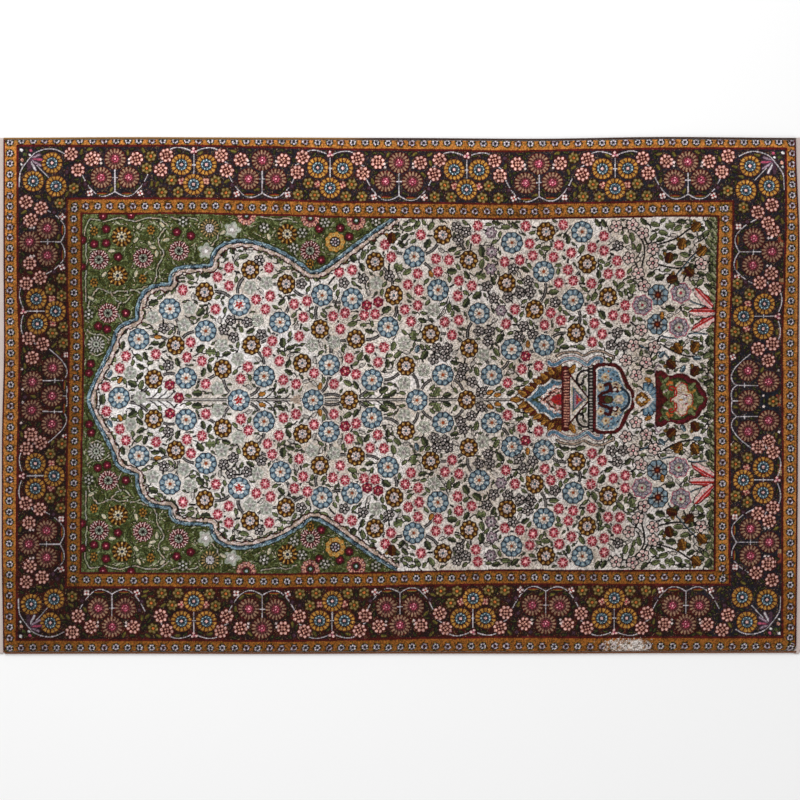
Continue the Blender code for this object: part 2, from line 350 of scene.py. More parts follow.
# Leaves and buds. Each row: its length and width in units, the yarn of its rim, of its two halves and
# of its vein, how blunt its tip is, and how deeply its edge is scalloped.
LEAVES = {
    "leaf": (10.6, 5.8, "charcoal", "leaf", "light leaf", "dark leaf", 1.2, 0.0),
    "broad leaf": (10.5, 7.2, "charcoal", "leaf", "dark leaf", "charcoal", 0.9, 0.12),
    "oak leaf": (11.0, 8.0, "charcoal", "light leaf", "leaf", "dark leaf", 0.9, 0.32),
    "dark leaf": (9.6, 5.4, "charcoal", "dark leaf", "leaf", "charcoal", 1.1, 0.1),
    "small leaf": (7.4, 4.3, "charcoal", "light leaf", "leaf", "leaf", 1.2, 0.0),
    "tiny leaf": (5.4, 3.1, "slate", "leaf", "dark leaf", "leaf", 1.0, 0.0),
    "hollow leaf": (8.0, 4.4, "slate", "pale stone", "ivory", "pale stone", 1.2, 0.0),
    "tulip": (13.0, 9.4, "umber", "gold", "dark gold", "umber", 0.8, 0.14),
    "dark tulip": (12.0, 9.0, "umber", "dark gold", "maroon", "umber", 0.8, 0.14),
    "blue bud": (9.0, 5.2, "navy", "denim", "sky", "navy", 1.1, 0.0),
    "gold bud": (8.4, 5.2, "umber", "bright gold", "gold", "orange", 1.0, 0.1),
    "flame leaf": (28.0, 10.4, "charcoal", "red", "shell", "rose", 1.1, 0.12),
    "gold petal": (8.6, 5.0, "umber", "gold", "olive", "maroon", 1.0, 0.12),
    "gold flame": (12.5, 6.6, "maroon", "bright gold", "gold", "dark gold", 1.3, 0.12),
    "dark flame": (11.0, 5.6, "maroon", "dark gold", "wine", "maroon", 1.3, 0.12),
    "moss leaf": (9.0, 4.6, "dark moss", "green", "moss", "dark moss", 1.2, 0.0),
    "pale moss leaf": (7.5, 3.8, "dark moss", "light leaf", "green", "green", 1.2, 0.0),
    "cream leaf": (8.6, 5.0, "dark moss", "cream", "pale leaf", "cream", 1.1, 0.0),
    "pale fleck": (4.6, 2.4, "dark moss", "pale leaf", "taupe", "cream", 1.0, 0.0),
    "strip leaf": (12.0, 5.6, "dark moss", "light leaf", "pale leaf", "green", 0.9, 0.0),
    "olive leaf": (8.0, 4.6, "aubergine", "olive", "moss", "olive", 1.1, 0.0),
    "night leaf": (6.6, 3.6, "ink", "dark moss", "moss", "dark moss", 1.1, 0.0),
    "rust leaf": (12.5, 4.4, "ink", "olive", "wine", "rust", 1.3, 0.0),
}

# Where the field's flowers stand, in the photograph's pixels. Only the far half is listed, because
# the field is woven as its mirror image about the axis. A flower on the axis has v = 400.
FIELD = {
    "blue rosette": (
        (119, 398), (313, 400), (417, 400), (170, 309), (139, 339), (186, 378), (206, 331), (280, 322),
        (264, 376), (322, 295), (352, 299), (329, 365), (372, 380), (388, 327), (414, 257), (438, 290),
        (479, 313), (443, 375), (492, 375), (512, 243), (512, 349), (544, 272), (544, 345), (582, 232),
        (573, 300),
    ),
    "red-hearted rosette": ((239, 400), (239, 305)),
    "dark blue rosette": ((658, 295), (657, 324)),
    "gold rosette": (
        (349, 400), (467, 400), (176, 345), (154, 379), (205, 292), (250, 270), (286, 284), (251, 345),
        (223, 369), (302, 363), (320, 329), (356, 339), (375, 262), (394, 295), (406, 366), (431, 334),
        (443, 235), (469, 260), (469, 348), (507, 283), (546, 232), (535, 309), (587, 264), (576, 333),
        (608, 297),
    ),
    "crimson flower": (
        (183, 290), (126, 356), (120, 368), (106, 387), (156, 354), (191, 342), (187, 357), (229, 268),
        (218, 277), (229, 286), (269, 268), (216, 309), (256, 299), (270, 296), (265, 309), (294, 304),
        (307, 301), (303, 317), (339, 272), (352, 270), (385, 245), (391, 257), (333, 316), (345, 313),
        (364, 315), (375, 314), (299, 336), (272, 341), (267, 352), (279, 361), (248, 367), (241, 379),
        (283, 380), (296, 384), (314, 373), (334, 384), (356, 374), (349, 358), (340, 329), (370, 348),
        (384, 347), (378, 362), (202, 361), (206, 384), (421, 235), (478, 226), (476, 239), (449, 260),
        (436, 259), (418, 274), (438, 272), (408, 285), (419, 290), (459, 281), (472, 286), (458, 296),
        (526, 226), (563, 225), (530, 244), (559, 245), (571, 253), (554, 257), (533, 256), (520, 260),
        (505, 262), (592, 248), (568, 270), (573, 281), (559, 283), (591, 284), (515, 309), (551, 313),
        (591, 309), (405, 309), (418, 305), (411, 321), (445, 322), (459, 320), (452, 335), (506, 324),
        (545, 325), (561, 320), (594, 323), (592, 342), (522, 369), (539, 366), (508, 383), (604, 236),
        (604, 251), (617, 261), (608, 274), (620, 274), (625, 305), (613, 315), (625, 318), (602, 334),
    ),
    "plum flower": ((170, 385), (179, 398), (367, 305), (378, 302), (345, 371), (526, 356)),
    "ghost flower": (
        (153, 317), (184, 325), (190, 308), (130, 373), (140, 398), (250, 287), (266, 283), (376, 283),
        (222, 345), (238, 359), (218, 388), (257, 320), (312, 345), (334, 342), (404, 343), (434, 310),
        (424, 370), (483, 355), (404, 383),
    ),
    "outline flower": (
        (164, 328), (169, 365), (259, 260), (301, 284), (344, 283), (363, 279), (389, 276), (231, 320),
        (247, 322), (224, 330), (234, 337), (261, 334), (457, 227), (459, 240), (466, 232), (487, 287),
        (494, 298), (508, 297), (520, 293), (531, 292), (528, 281), (513, 269), (555, 302), (437, 348),
        (445, 356), (448, 348), (434, 359), (479, 331), (490, 331), (488, 341), (464, 368), (461, 376),
        (472, 382), (481, 392), (524, 326), (519, 336), (533, 334), (618, 246), (617, 333), (611, 345),
        (623, 345),
    ),
    "lilac flower": ((491, 233), (492, 252), (491, 269), (501, 310)),
    "great lilac flower": ((681, 293), (679, 327), (642, 305)),
    "pale flower": (
        (616, 226), (632, 225), (643, 233), (653, 249), (653, 263), (629, 258), (638, 273), (644, 286),
        (641, 330), (633, 345), (654, 347), (626, 360), (646, 362), (636, 375), (701, 264),
    ),
}

# The spandrels' flowers, far side, and the half flowers that hang from the guard band
SPANDREL = {
    "pink ring flower": ((246, 216), (310, 218), (356, 221)),
    "magenta dot": (
        (103, 216), (131, 215), (106, 229), (94, 244), (106, 243), (191, 236), (126, 313), (98, 326),
        (107, 329), (91, 364), (89, 373), (319, 229), (340, 228), (349, 237), (321, 260), (118, 257),
        (177, 232), (82, 240), (82, 267),
    ),
    "white star": ((183, 222), (264, 228), (302, 233), (325, 223), (89, 314), (376, 221), (294, 248)),
    "ghost star": ((232, 230), (206, 251)),
    "spandrel gold": ((122, 237), (118, 276), (287, 234)),
    "spandrel wheel": ((210, 228),),
    "yellow rosette": ((335, 242),),
    "ring flower": ((99, 260), (143, 258), (179, 251), (108, 313), (310, 251)),
    "white ring flower": ((96, 344),),
    "small gold": ((94, 231), (151, 230), (94, 283), (143, 279), (310, 264)),
    "cream leaf": (
        (136, 240), (150, 244), (166, 240), (157, 254), (153, 247), (139, 226), (162, 225), (223, 233),
        (269, 237), (112, 251), (136, 274), (91, 298), (104, 275),
    ),
}

# Pale lines in the spandrel that frame its flowers like clouds, each with a dark shadow line
CLOUD_LINES = (
    ((86, 301), (85, 280), (87, 262), (85, 244), (86, 221), (94, 218), (102, 222), (112, 219), (122, 218),
     (133, 222), (144, 218), (157, 218), (165, 222), (169, 227)),
    ((165, 228), (158, 238), (159, 245), (165, 253), (162, 259), (157, 268), (157, 278), (152, 285),
     (143, 288), (134, 291)),
    ((128, 292), (120, 290), (112, 295), (106, 291), (99, 288), (94, 292), (89, 301), (88, 308)),
    ((110, 292), (115, 299), (124, 303), (130, 297)),
    ((130, 290), (138, 291), (143, 296)),
    ((172, 217), (180, 220), (190, 217), (198, 221)),
    ((212, 246), (217, 240), (219, 233)),
    ((261, 217), (275, 219), (289, 218), (296, 223)),
    ((288, 246), (292, 252), (297, 256)),
    ((121, 302), (116, 310), (122, 322)),
    ((87, 330), (93, 334), (104, 335), (110, 341)),
    ((90, 352), (97, 356), (103, 353)),
)

# Larger buds of the field, with the direction in which each points, in degrees from +u towards the
# far side
BUDS = {
    "tulip": ((696, 227, 45), (682, 244, 70), (702, 251, 50), (695, 347, 60), (678, 348, 120)),
    "dark tulip": (
        (669, 258, 80), (689, 272, 130), (672, 279, 20), (671, 364, 140), (695, 371, 60), (392, 238, 90),
    ),
    "blue bud": ((697, 358, 0), (683, 369, 60), (662, 354, 45), (110, 374, 60), (417, 349, 80)),
    "gold bud": (
        (120, 380, 60), (158, 337, 0), (431, 274, 120), (320, 386, 70), (528, 344, 90), (648, 380, 150),
        (662, 315, 90), (529, 314, 60),
    ),
    "flame leaf": ((702, 312, 180), (703, 298, 140), (703, 324, 215)),
}

# Routes of the dark vines that wind between the buds at the niche's foot
VINES = (
    ((716, 312), (706, 306), (694, 303), (684, 296)),
    ((652, 246), (664, 243), (678, 238), (690, 228), (702, 224)),
    ((661, 300), (668, 289), (674, 278), (684, 266), (694, 254), (706, 246)),
    ((664, 346), (674, 352), (686, 356), (700, 357)),
    ((640, 345), (652, 352), (664, 352), (672, 362)),
    ((626, 225), (640, 236), (646, 250), (640, 272), (646, 288)),
    ((657, 334), (668, 338), (680, 338), (692, 332), (706, 334)),
)

# The niche's outline on the far side, as lobes: where each ends and the two points that bend it
NICHE_START = (88, 398)
NICHE_LOBES = (
    {"leaves": (93, 376), "arrives": (112, 352), "to": (115, 333)},
    {"leaves": (118, 325), "arrives": (128, 322), "to": (137, 318)},
    {"leaves": (135, 292), "arrives": (150, 283), "to": (170, 284)},
    {"leaves": (168, 262), "arrives": (188, 268), "to": (211, 265)},
    {"leaves": (210, 232), "arrives": (262, 230), "to": (311, 272)},
    {"leaves": (325, 274), "arrives": (352, 242), "to": (396, 217)},
)
NICHE_END = 396

# How the lines between the bands wander, in units, at even steps, and where each line lies on average
WANDER = {
    "far": {"from": 110, "to": 670, "by": (-2.7, -2.9, -1.2, 0.9, 1.7, 2.9, 1.4, 0.0)},
    "near": {"from": 110, "to": 670, "by": (1.1, 1.4, 2.3, 1.0, -0.8, -2.0, -1.4, -1.6)},
    "left": {"from": 220, "to": 520, "by": (-0.4, -0.6, 1.5, 1.0, -0.5, -1.3)},
    "right": {"from": 220, "to": 520, "by": (2.7, 1.1, -1.2, -1.0, -0.7, -1.0)},
}
LINES = {
    "far": {"rim": 136.6, "outer guard": 147.2, "inner guard": 202.4, "field": 215.2},
    "near": {"rim": 654.3, "outer guard": 640.0, "inner guard": 585.0, "field": 573.1},
    "left": {"rim": 3.2, "outer guard": 16.8, "inner guard": 68.4, "field": 80.8},
    "right": {"rim": 797.3, "outer guard": 784.5, "inner guard": 729.5, "field": 716.8},
}
INWARD = {"far": 1, "near": -1, "left": 1, "right": -1}
LINE_WIDTH = 2.0
RIM_LINE = 1.1  # how wide the dark line along the rug's two ends is
GUARD_PITCH = {"far": 11.8, "near": 11.8, "left": 10.6, "right": 10.6}  # from star to star
BORDER_SQUEEZE = {"far": 1.0, "near": 1.0, "left": 0.94, "right": 1.0}  # the left border is narrower

# The middles of the border's groups of wheels, which alternate from mauve to gold and back
BORDER_GROUPS = {
    "far": (115, 194, 262, 330, 399, 467, 539, 615, 688),
    "near": (112, 194, 262, 332, 400, 473, 546, 614, 686),
    "left": (242, 311, 396, 476, 544),
    "right": (252, 316, 401, 480, 542),
}
# Each row: the flower, how far along from the group's middle on both sides, and how deep in from the
# outer guard
GOLD_GROUP = (
    ("pink bud", 12.3, 35.0),
    ("olive star", 22.0, 34.0),
    ("olive star", 15.7, 46.0),
    ("olive star", 32.0, 46.0),
    ("gold wheel", 12.5, 18.3),
    ("gold wheel", 0.0, 38.3),
    ("pink daisy", 27.5, 8.5),
    ("pink daisy", 33.0, 23.5),
    ("red bud", 0.0, 4.2),
)
MAUVE_GROUP = (
    ("rust leaf", 12.5, 47.0),
    ("mauve wheel", 0.0, 12.2),
    ("mauve wheel", 13.6, 31.0),
    ("pink daisy", 21.3, 12.0),
    ("white dash", 14.3, 13.0),
    ("white dash", 14.0, 16.6),
    ("white chip", 25.3, 46.5),
    ("night fleck", 30.0, 38.0),
)
LEFT_FIVE = (
    ("rust leaf", 12.0, 47.0),
    ("mauve wheel", 0.0, 34.0),
    ("mauve wheel", 28.2, 34.5),
    ("mauve wheel", 14.0, 13.0),
    ("white dash", 6.5, 3.0),
    ("white dash", 27.0, 2.0),
    ("pink daisy", 38.5, 12.5),
    ("white chip", 41.0, 49.0),
)
RIGHT_FIVE = (
    ("mauve wheel", 0.0, 33.0),
    ("mauve wheel", 30.6, 33.2),
    ("mauve wheel", 19.6, 12.8),
    ("white dash", 5.5, 18.0),
    ("white dash", 31.0, 2.5),
    ("pink daisy", 40.5, 13.0),
    ("white chip", 44.0, 48.5),
)
# Fine white lines of the groups, as routes of offset along and depth, drawn on both sides
GOLD_LINES = (
    ((0, 6), (6, 2.8), (14, 0.8), (20, 1.2), (26, 4)),
    ((0, 6), (0, 29)),
    ((0, 18.5), (3.4, 18.5)),
    ((30, 14), (35, 17)),
)
MAUVE_LINES = (
    ((0, 45), (4, 47.5), (10, 50), (17, 49), (24, 43), (29, 36), (33, 28)),
    ((0, 22), (0, 45)),
    ((0, 31), (3.4, 31)),
)
FIVE_LINES = (
    ((0, 40), (0, 49.5)),
    ((0, 49.5), (7, 50.5), (12, 49), (15.4, 45)),
    ((15.4, 45), (19.5, 49.5), (27, 50.5), (37, 43.5), (47, 31)),
    ((15.3, 24), (15.8, 45)),
    ((13.8, 37), (17.8, 37)),
)
CORNER_WHEELS = (
    (52, 163), (33, 181), (56, 186), (750, 166), (746, 190), (769, 186), (31, 604), (54, 599), (50, 623),
    (742, 597), (767, 600), (747, 622),
)
CORNER_DAISIES = (
    (71, 154), (78, 170), (91, 159), (26, 202), (41, 208), (31, 220), (728, 156), (722, 172), (772, 205),
    (758, 212), (768, 223), (26, 582), (42, 577), (30, 566), (72, 632), (78, 616), (722, 630), (728, 615),
    (772, 580), (756, 573), (768, 564),
)
# The corners' lines, fan flower and buds, inwards along and inwards across from the border's corner
CORNER_LINES = (
    ((0.7, 40), (1.2, 26), (4.6, 20), (10, 13), (15, 7), (20, 4.5), (27, 2.2), (37, 2.2), (46, 7)),
    ((18.5, 19), (30, 31)),
)
CORNER_FAN_ROOT = (11, 12.5)
CORNER_FAN_TIPS = (
    (21, 8, "lilac"), (23, 13, "cerise"), (22, 19, "lilac"), (17, 23.5, "lilac white"), (10.5, 23, "purple"),
)
CORNER_BUDS = (
    ("white", 2.6, 3.2, 2.2), ("green", 6.0, 7.5, 2.6), ("cerise", 12.0, 3.6, 2.2), ("white", 11.0, 8.0, 1.7),
    ("salmon", 3.4, 13.0, 2.4), ("white", 2.6, 17.5, 1.4), ("moss", 7.5, 3.5, 1.8),
)

# Marks of use: the mended spot in the right border, the brown patches beside its guard as places with
# half their length, and the nicks along the near edge
MEND = (770, 401.5)
BROWN_PATCHES = (
    (778.5, 400.5, 6), (780.5, 241, 7), (781.5, 280, 5), (780.5, 333, 5), (780, 470, 6), (780.5, 556, 7),
)
NICKS = (697, 704, 715, 757)
FADED = (627, 647)  # the middle of the faded stretch of the near outer guard
PAINTED_SHINE = (402, 372)  # the middle of the painted highlight where the worn ivory catches the light

# The field's limits for the look of its pile
FIELD_LIMITS = {"left": 80, "right": 718, "far": 214, "near": 574}


def smooth_steps(values, share):
    """The values at shares of the way along evenly spaced values, joined by smooth steps."""
    values = np.asarray(values, float)
    place = np.clip(share, 0, 1) * (len(values) - 1)
    first = np.minimum(np.floor(place).astype(int), len(values) - 2)
    part = place - first
    smooth = part * part * (3 - 2 * part)
    return values[first] * (1 - smooth) + values[first + 1] * smooth


def rim_lines():
    """The rug's outline on the floor, read from its CAD solid as one line for each edge."""
    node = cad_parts["knotted_rug"]
    points = np.array([node.matrix_world @ vertex.co for vertex in node.data.vertices])
    points = points[points[:, 2] < 0.0005]
    (low_x, low_y), (high_x, high_y) = points[:, :2].min(0), points[:, :2].max(0)
    reach = 0.02
    lines = {}
    for name, chosen, by in (
        ("near", points[:, 1] < low_y + reach, 0),
        ("far", points[:, 1] > high_y - reach, 0),
        ("left", points[:, 0] < low_x + reach, 1),
        ("right", points[:, 0] > high_x - reach, 1),
    ):
        line = points[chosen]
        line = line[np.argsort(line[:, by])]
        keep = np.concatenate([[True], np.diff(line[:, by]) > 0.004])
        lines[name] = (line[keep][:, by], line[keep][:, 1 - by])
    return lines


RIM = rim_lines()


def edge(name, at):
    """How far out an edge of the outline lies, at places along it."""
    return np.interp(at, *RIM[name])


def floor_place(along, across, lean=0.0):
    """The places on the floor of shares of the pile's length and width, far side last."""
    y = RUG_LOW[1] + (RUG_HIGH[1] - RUG_LOW[1]) * across
    left, right = edge("left", y) + lean, edge("right", y) - lean
    x = left + (right - left) * along
    near, far = edge("near", x) + lean, edge("far", x) - lean
    return x, near + (far - near) * across


def chart_shares(x, y):
    """The shares of the pile's length and width at places on the floor."""
    left, right = edge("left", y), edge("right", y)
    near, far = edge("near", x), edge("far", x)
    return (x - left) / (right - left), (y - near) / (far - near)


def rim_gaps(x, y):
    """How far inside each edge of the outline places on the floor lie."""
    return {
        "left": x - edge("left", y),
        "right": edge("right", y) - x,
        "near": y - edge("near", x),
        "far": edge("far", x) - y,
    }


def pile_height(x, y):
    """The worn pile's height, which rises and sinks in long soft rolls and falls away at the rim."""
    roll = np.sin(9.0 * x + 1.7 * np.sin(4.0 * y)) + 0.6 * np.sin(13.0 * y - 5.0 * x)
    inside = np.minimum.reduce(list(rim_gaps(x, y).values()))
    full = np.clip((inside - RIM_LEAN) / SHOULDER, 0, 1)
    full = full * (2 - full)
    return RIM_HEIGHT + (PILE_HEIGHT + ROLL * roll / 1.6 - RIM_HEIGHT) * full


def line_at(side, name, at):
    """Where a line between two bands lies, at places along a side."""
    table = WANDER[side]
    share = (np.asarray(at, float) - table["from"]) / (table["to"] - table["from"])
    return LINES[side][name] + smooth_steps(table["by"], share)


def near_side(v):
    """Where a place on the far half of the field comes to lie on the near half."""
    return AXIS + (AXIS - v) * NEAR_SHARE


def bezier(start, leaves, arrives, end, steps=12):
    """Points along one bend of a curve, without its first."""
    part = np.linspace(0, 1, steps + 1)[1:, None]
    start, leaves, arrives, end = (np.array(point, float) for point in (start, leaves, arrives, end))
    return (
        start * (1 - part) ** 3
        + 3 * leaves * part * (1 - part) ** 2
        + 3 * arrives * part ** 2 * (1 - part)
        + end * part ** 3
    )


def bowed(start, end, bend, steps):
    """A route between two places that bows out to one side, by a share of its length."""
    (u0, v0), (u1, v1) = start, end
    middle = ((u0 + u1) / 2 + bend * (v1 - v0), (v0 + v1) / 2 - bend * (u1 - u0))
    return np.concatenate([[start], bezier(start, middle, middle, end, steps)])


def drawn_in(outline, down, left, right=0.0, middle=math.inf):
    """An outline drawn in from the far side and from both ends, but still closed across the axis."""
    return [(u + (left if u < middle else -right), min(v + down, PAST_AXIS)) for u, v in outline]


def rounded(points):
    """A route with its corners cut twice, so that it bends softly."""
    points = np.array(points, float)
    for _ in range(2):
        cuts = np.stack([points[:-1] * 0.75 + points[1:] * 0.25, points[:-1] * 0.25 + points[1:] * 0.75], 1)
        points = np.concatenate([points[:1], cuts.reshape(-1, 2), points[-1:]])
    return points


def niche_line():
    """The niche's outline on the far side, from the apex to the guard band."""
    points = [np.array([NICHE_START], float)]
    for lobe in NICHE_LOBES:
        points.append(bezier(points[-1][-1], lobe["leaves"], lobe["arrives"], lobe["to"]))
    return np.concatenate(points)


def soft_noise(shape, cell, seed):
    """Smooth noise from 0 to 1 over a grid, whose soft spots are about one cell across."""
    chance = np.random.default_rng(seed)
    coarse = chance.random((int(shape[0] / cell) + 3, int(shape[1] / cell) + 3))
    row, column = np.arange(shape[0]) / cell, np.arange(shape[1]) / cell
    r, c = row.astype(int), column.astype(int)
    fr, fc = (row - r)[:, None], (column - c)[None, :]
    fr, fc = fr * fr * (3 - 2 * fr), fc * fc * (3 - 2 * fc)
    top = coarse[r][:, c] * (1 - fc) + coarse[r][:, c + 1] * fc
    low = coarse[r + 1][:, c] * (1 - fc) + coarse[r + 1][:, c + 1] * fc
    return top * (1 - fr) + low * fr


class Chart:
    """The weaver's chart: which yarn each knot is tied in. Rows run from the far side to the near."""

    def __init__(self):
        """An empty chart, with the place of each knot in units."""
        along = (np.arange(KNOTS_ALONG) + 0.5) / KNOTS_ALONG
        across = 1 - (np.arange(KNOTS_ACROSS) + 0.5) / KNOTS_ACROSS
        along, across = np.meshgrid(along, across)
        x, y = floor_place(along, across)
        self.u, self.v = MIDDLE_U + x / UNIT, MIDDLE_V - y / UNIT
        self.yarn = np.zeros(self.u.shape, np.uint8)
        self.taken = np.zeros(self.u.shape, bool)
        self.grain = soft_noise(self.u.shape, 2.6, 91)

    def knot(self, u, v):
        """The row and column, as fractions, of places in units."""
        x, y = (np.asarray(u, float) - MIDDLE_U) * UNIT, (MIDDLE_V - np.asarray(v, float)) * UNIT
        along, across = chart_shares(x, y)
        return (1 - across) * KNOTS_ACROSS - 0.5, along * KNOTS_ALONG - 0.5

    def mottle(self, where, names, cell, seed, stray=0.35):
        """Fills a zone with several close yarns, mixed by soft noise and by single stray knots."""
        noise = soft_noise(self.yarn.shape, cell * KNOTS_A_UNIT, seed)
        noise += stray * (np.random.default_rng(seed + 1).random(self.yarn.shape) - 0.5)
        levels = np.clip((noise - 0.15) / 0.7 * len(names), 0, len(names) - 1).astype(int)
        numbers = np.array([NUMBER[name] for name in names], np.uint8)
        self.yarn[where] = numbers[levels[where]]

    def copies(self, motif, v, mirrored):
        """A motif and its place, and its mirror image across the axis."""
        yield motif, v
        if mirrored and abs(v - AXIS) > 2.5:
            yield motif[::-1], near_side(v)

    def corners(self, motif, u, v):
        """The first row and column that a motif covers."""
        row, column = self.knot(u, v)
        return round(float(row)) - motif.shape[0] // 2, round(float(column)) - motif.shape[1] // 2

    def fits(self, motif, u, v):
        """Whether a motif's knots are all free, and on the chart."""
        top, left = self.corners(motif, u, v)
        if top < 0 or left < 0:
            return False
        under = self.taken[top:top + motif.shape[0], left:left + motif.shape[1]]
        return under.shape == motif.shape and not under[motif > 0].any()

    def place(self, motif, u, v, mirrored=False, where=None):
        """Ties a motif with its middle at u, v, over what is there, and only in the zone if one is given."""
        for shape, at in self.copies(motif, v, mirrored):
            top, left = self.corners(shape, u, at)
            skip_row, skip_column = max(0, -top), max(0, -left)
            rows = slice(top + skip_row, top + shape.shape[0])
            columns = slice(left + skip_column, left + shape.shape[1])
            under = self.yarn[rows, columns]
            cut = shape[skip_row:skip_row + under.shape[0], skip_column:skip_column + under.shape[1]]
            mask = cut > 0
            if where is not None:
                mask &= where[rows, columns]
            under[mask] = cut[mask]
            self.taken[rows, columns] |= mask

    def routes(self, points, mirrored):
        """A route in rows and columns of knots, and its mirror image."""
        points = np.array(points, float)
        yield self.knot(points[:, 0], points[:, 1])
        if mirrored:
            yield self.knot(points[:, 0], near_side(points[:, 1]))

    def stroke(self, points, width, name, mirrored=False, where=None, takes=True):
        """Draws a line of knots through points given in units."""
        half = width / 2 * KNOTS_A_UNIT
        for rows, columns in self.routes(points, mirrored):
            for r0, c0, r1, c1 in zip(rows, columns, rows[1:], columns[1:]):
                top, left = max(int(min(r0, r1) - half - 1), 0), max(int(min(c0, c1) - half - 1), 0)
                low, right = int(max(r0, r1) + half + 2), int(max(c0, c1) + half + 2)
                under = self.yarn[top:low, left:right]
                r, c = np.mgrid[top:top + under.shape[0], left:left + under.shape[1]]
                length = max((r1 - r0) ** 2 + (c1 - c0) ** 2, 1e-6)
                part = np.clip(((r - r0) * (r1 - r0) + (c - c0) * (c1 - c0)) / length, 0, 1)
                mask = np.hypot(r - r0 - part * (r1 - r0), c - c0 - part * (c1 - c0)) <= half
                if where is not None:
                    mask &= where[top:low, left:right]
                under[mask] = NUMBER[name]
                if takes:
                    self.taken[top:low, left:right] |= mask

    def fill(self, points, name, mirrored=False, flecks=None):
        """Fills an outline, given in units, with one yarn, or with flecks of a second one in it."""
        for rows, columns in self.routes(points, mirrored):
            top, left = int(rows.min()), int(columns.min())
            low, right = int(rows.max()) + 2, int(columns.max()) + 2
            r, c = np.mgrid[top:low, left:right]
            inside = np.zeros(r.shape, bool)
            for r0, c0, r1, c1 in zip(rows, columns, np.roll(rows, -1), np.roll(columns, -1)):
                if r0 == r1:
                    continue
                crossing = c0 + (r - r0) / (r1 - r0) * (c1 - c0)
                inside ^= ((r0 > r) != (r1 > r)) & (c < crossing)
            under = self.yarn[top:low, left:right]
            under[inside] = NUMBER[name]
            if flecks:
                under[inside & (self.grain[top:low, left:right] > FLECK_LEVEL)] = NUMBER[flecks]
            self.taken[top:low, left:right] |= inside


def disc_grid(reach):
    """A square of knots about a motif's middle, as distances in units."""
    half = int(math.ceil(reach * KNOTS_A_UNIT)) + 1
    steps = np.arange(-half, half + 1) / KNOTS_A_UNIT
    return np.meshgrid(steps, steps)


def layer_mask(shape, across, down, turned, reach, count, depth):
    """The knots of one layer of a flower."""
    distance = np.hypot(across, down)
    angle = np.arctan2(down, across) + turned
    if shape == "disc":
        return distance < reach * (1 + depth * np.cos(count * angle))
    if shape == "rays":
        off = distance * np.abs(np.sin(count * angle / 2)) * 2 / count
        return (distance < reach) & (off < depth / 2)
    turn = 2 * math.pi / count
    folded = angle % turn - turn / 2
    return np.hypot(distance * np.cos(folded) - reach, distance * np.sin(folded)) < depth


MADE = {}


def flower(name, version=0):
    """A flower's knots as a small chart, drawn once for each of the ways that it is turned."""
    if (name, version) not in MADE:
        layers = FLOWERS[name]
        widest = max(
            reach * (1 + abs(depth)) if shape == "disc" else reach + depth
            for shape, reach, _, depth, _ in layers
        )
        across, down = disc_grid(widest)
        across = across / NARROW.get(name, 1.0)
        motif = np.zeros(across.shape, np.uint8)
        for shape, reach, count, depth, yarn in layers:
            motif[layer_mask(shape, across, down, 0.23 * version, reach, count, depth)] = NUMBER[yarn]
        MADE[(name, version)] = motif
    return MADE[(name, version)]


def leaf(name, degrees):
    """A leaf's or bud's knots, pointing in a direction from +u towards the far side."""
    turn = round(degrees / TURN) % TURNS
    if (name, turn) not in MADE:
        length, width, rim, near_half, far_half, vein, blunt, scallop = LEAVES[name]
        across, down = disc_grid(length / 2 + 1)
        angle = math.radians(turn * TURN)
        along = across * math.cos(angle) - down * math.sin(angle)
        aside = across * math.sin(angle) + down * math.cos(angle)
        share = np.clip(along / length + 0.5, 0, 1)
        half = width / 2 * (2 * np.sqrt(share * (1 - share))) ** blunt
        half *= (1.15 - 0.3 * share) * (1 + scallop * np.cos(5 * math.pi * share))
        motif = np.zeros(across.shape, np.uint8)
        within = np.abs(along) < length / 2
        motif[(np.abs(aside) < half) & within] = NUMBER[rim]
        inner = (np.abs(aside) < half - LEAF_RIM) & (np.abs(along) < length / 2 - LEAF_TIP)
        motif[inner & (aside >= 0)] = NUMBER[near_half]
        motif[inner & (aside < 0)] = NUMBER[far_half]
        motif[inner & (np.abs(aside) < VEIN) & (along < length * 0.3)] = NUMBER[vein]
        if width > 8:
            motif[inner & (np.abs(np.abs(aside) - width * 0.24) < 0.35)] = NUMBER[vein]
        MADE[(name, turn)] = motif
    return MADE[(name, turn)]


def widened(motif):
    """A motif's footprint with a margin of one knot round it."""
    padded = np.pad(motif > 0, 1)
    wide = padded.copy()
    for shift in ((1, 0), (-1, 0), (0, 1), (0, -1)):
        wide |= np.roll(padded, shift, (0, 1))
    return wide.astype(np.uint8)


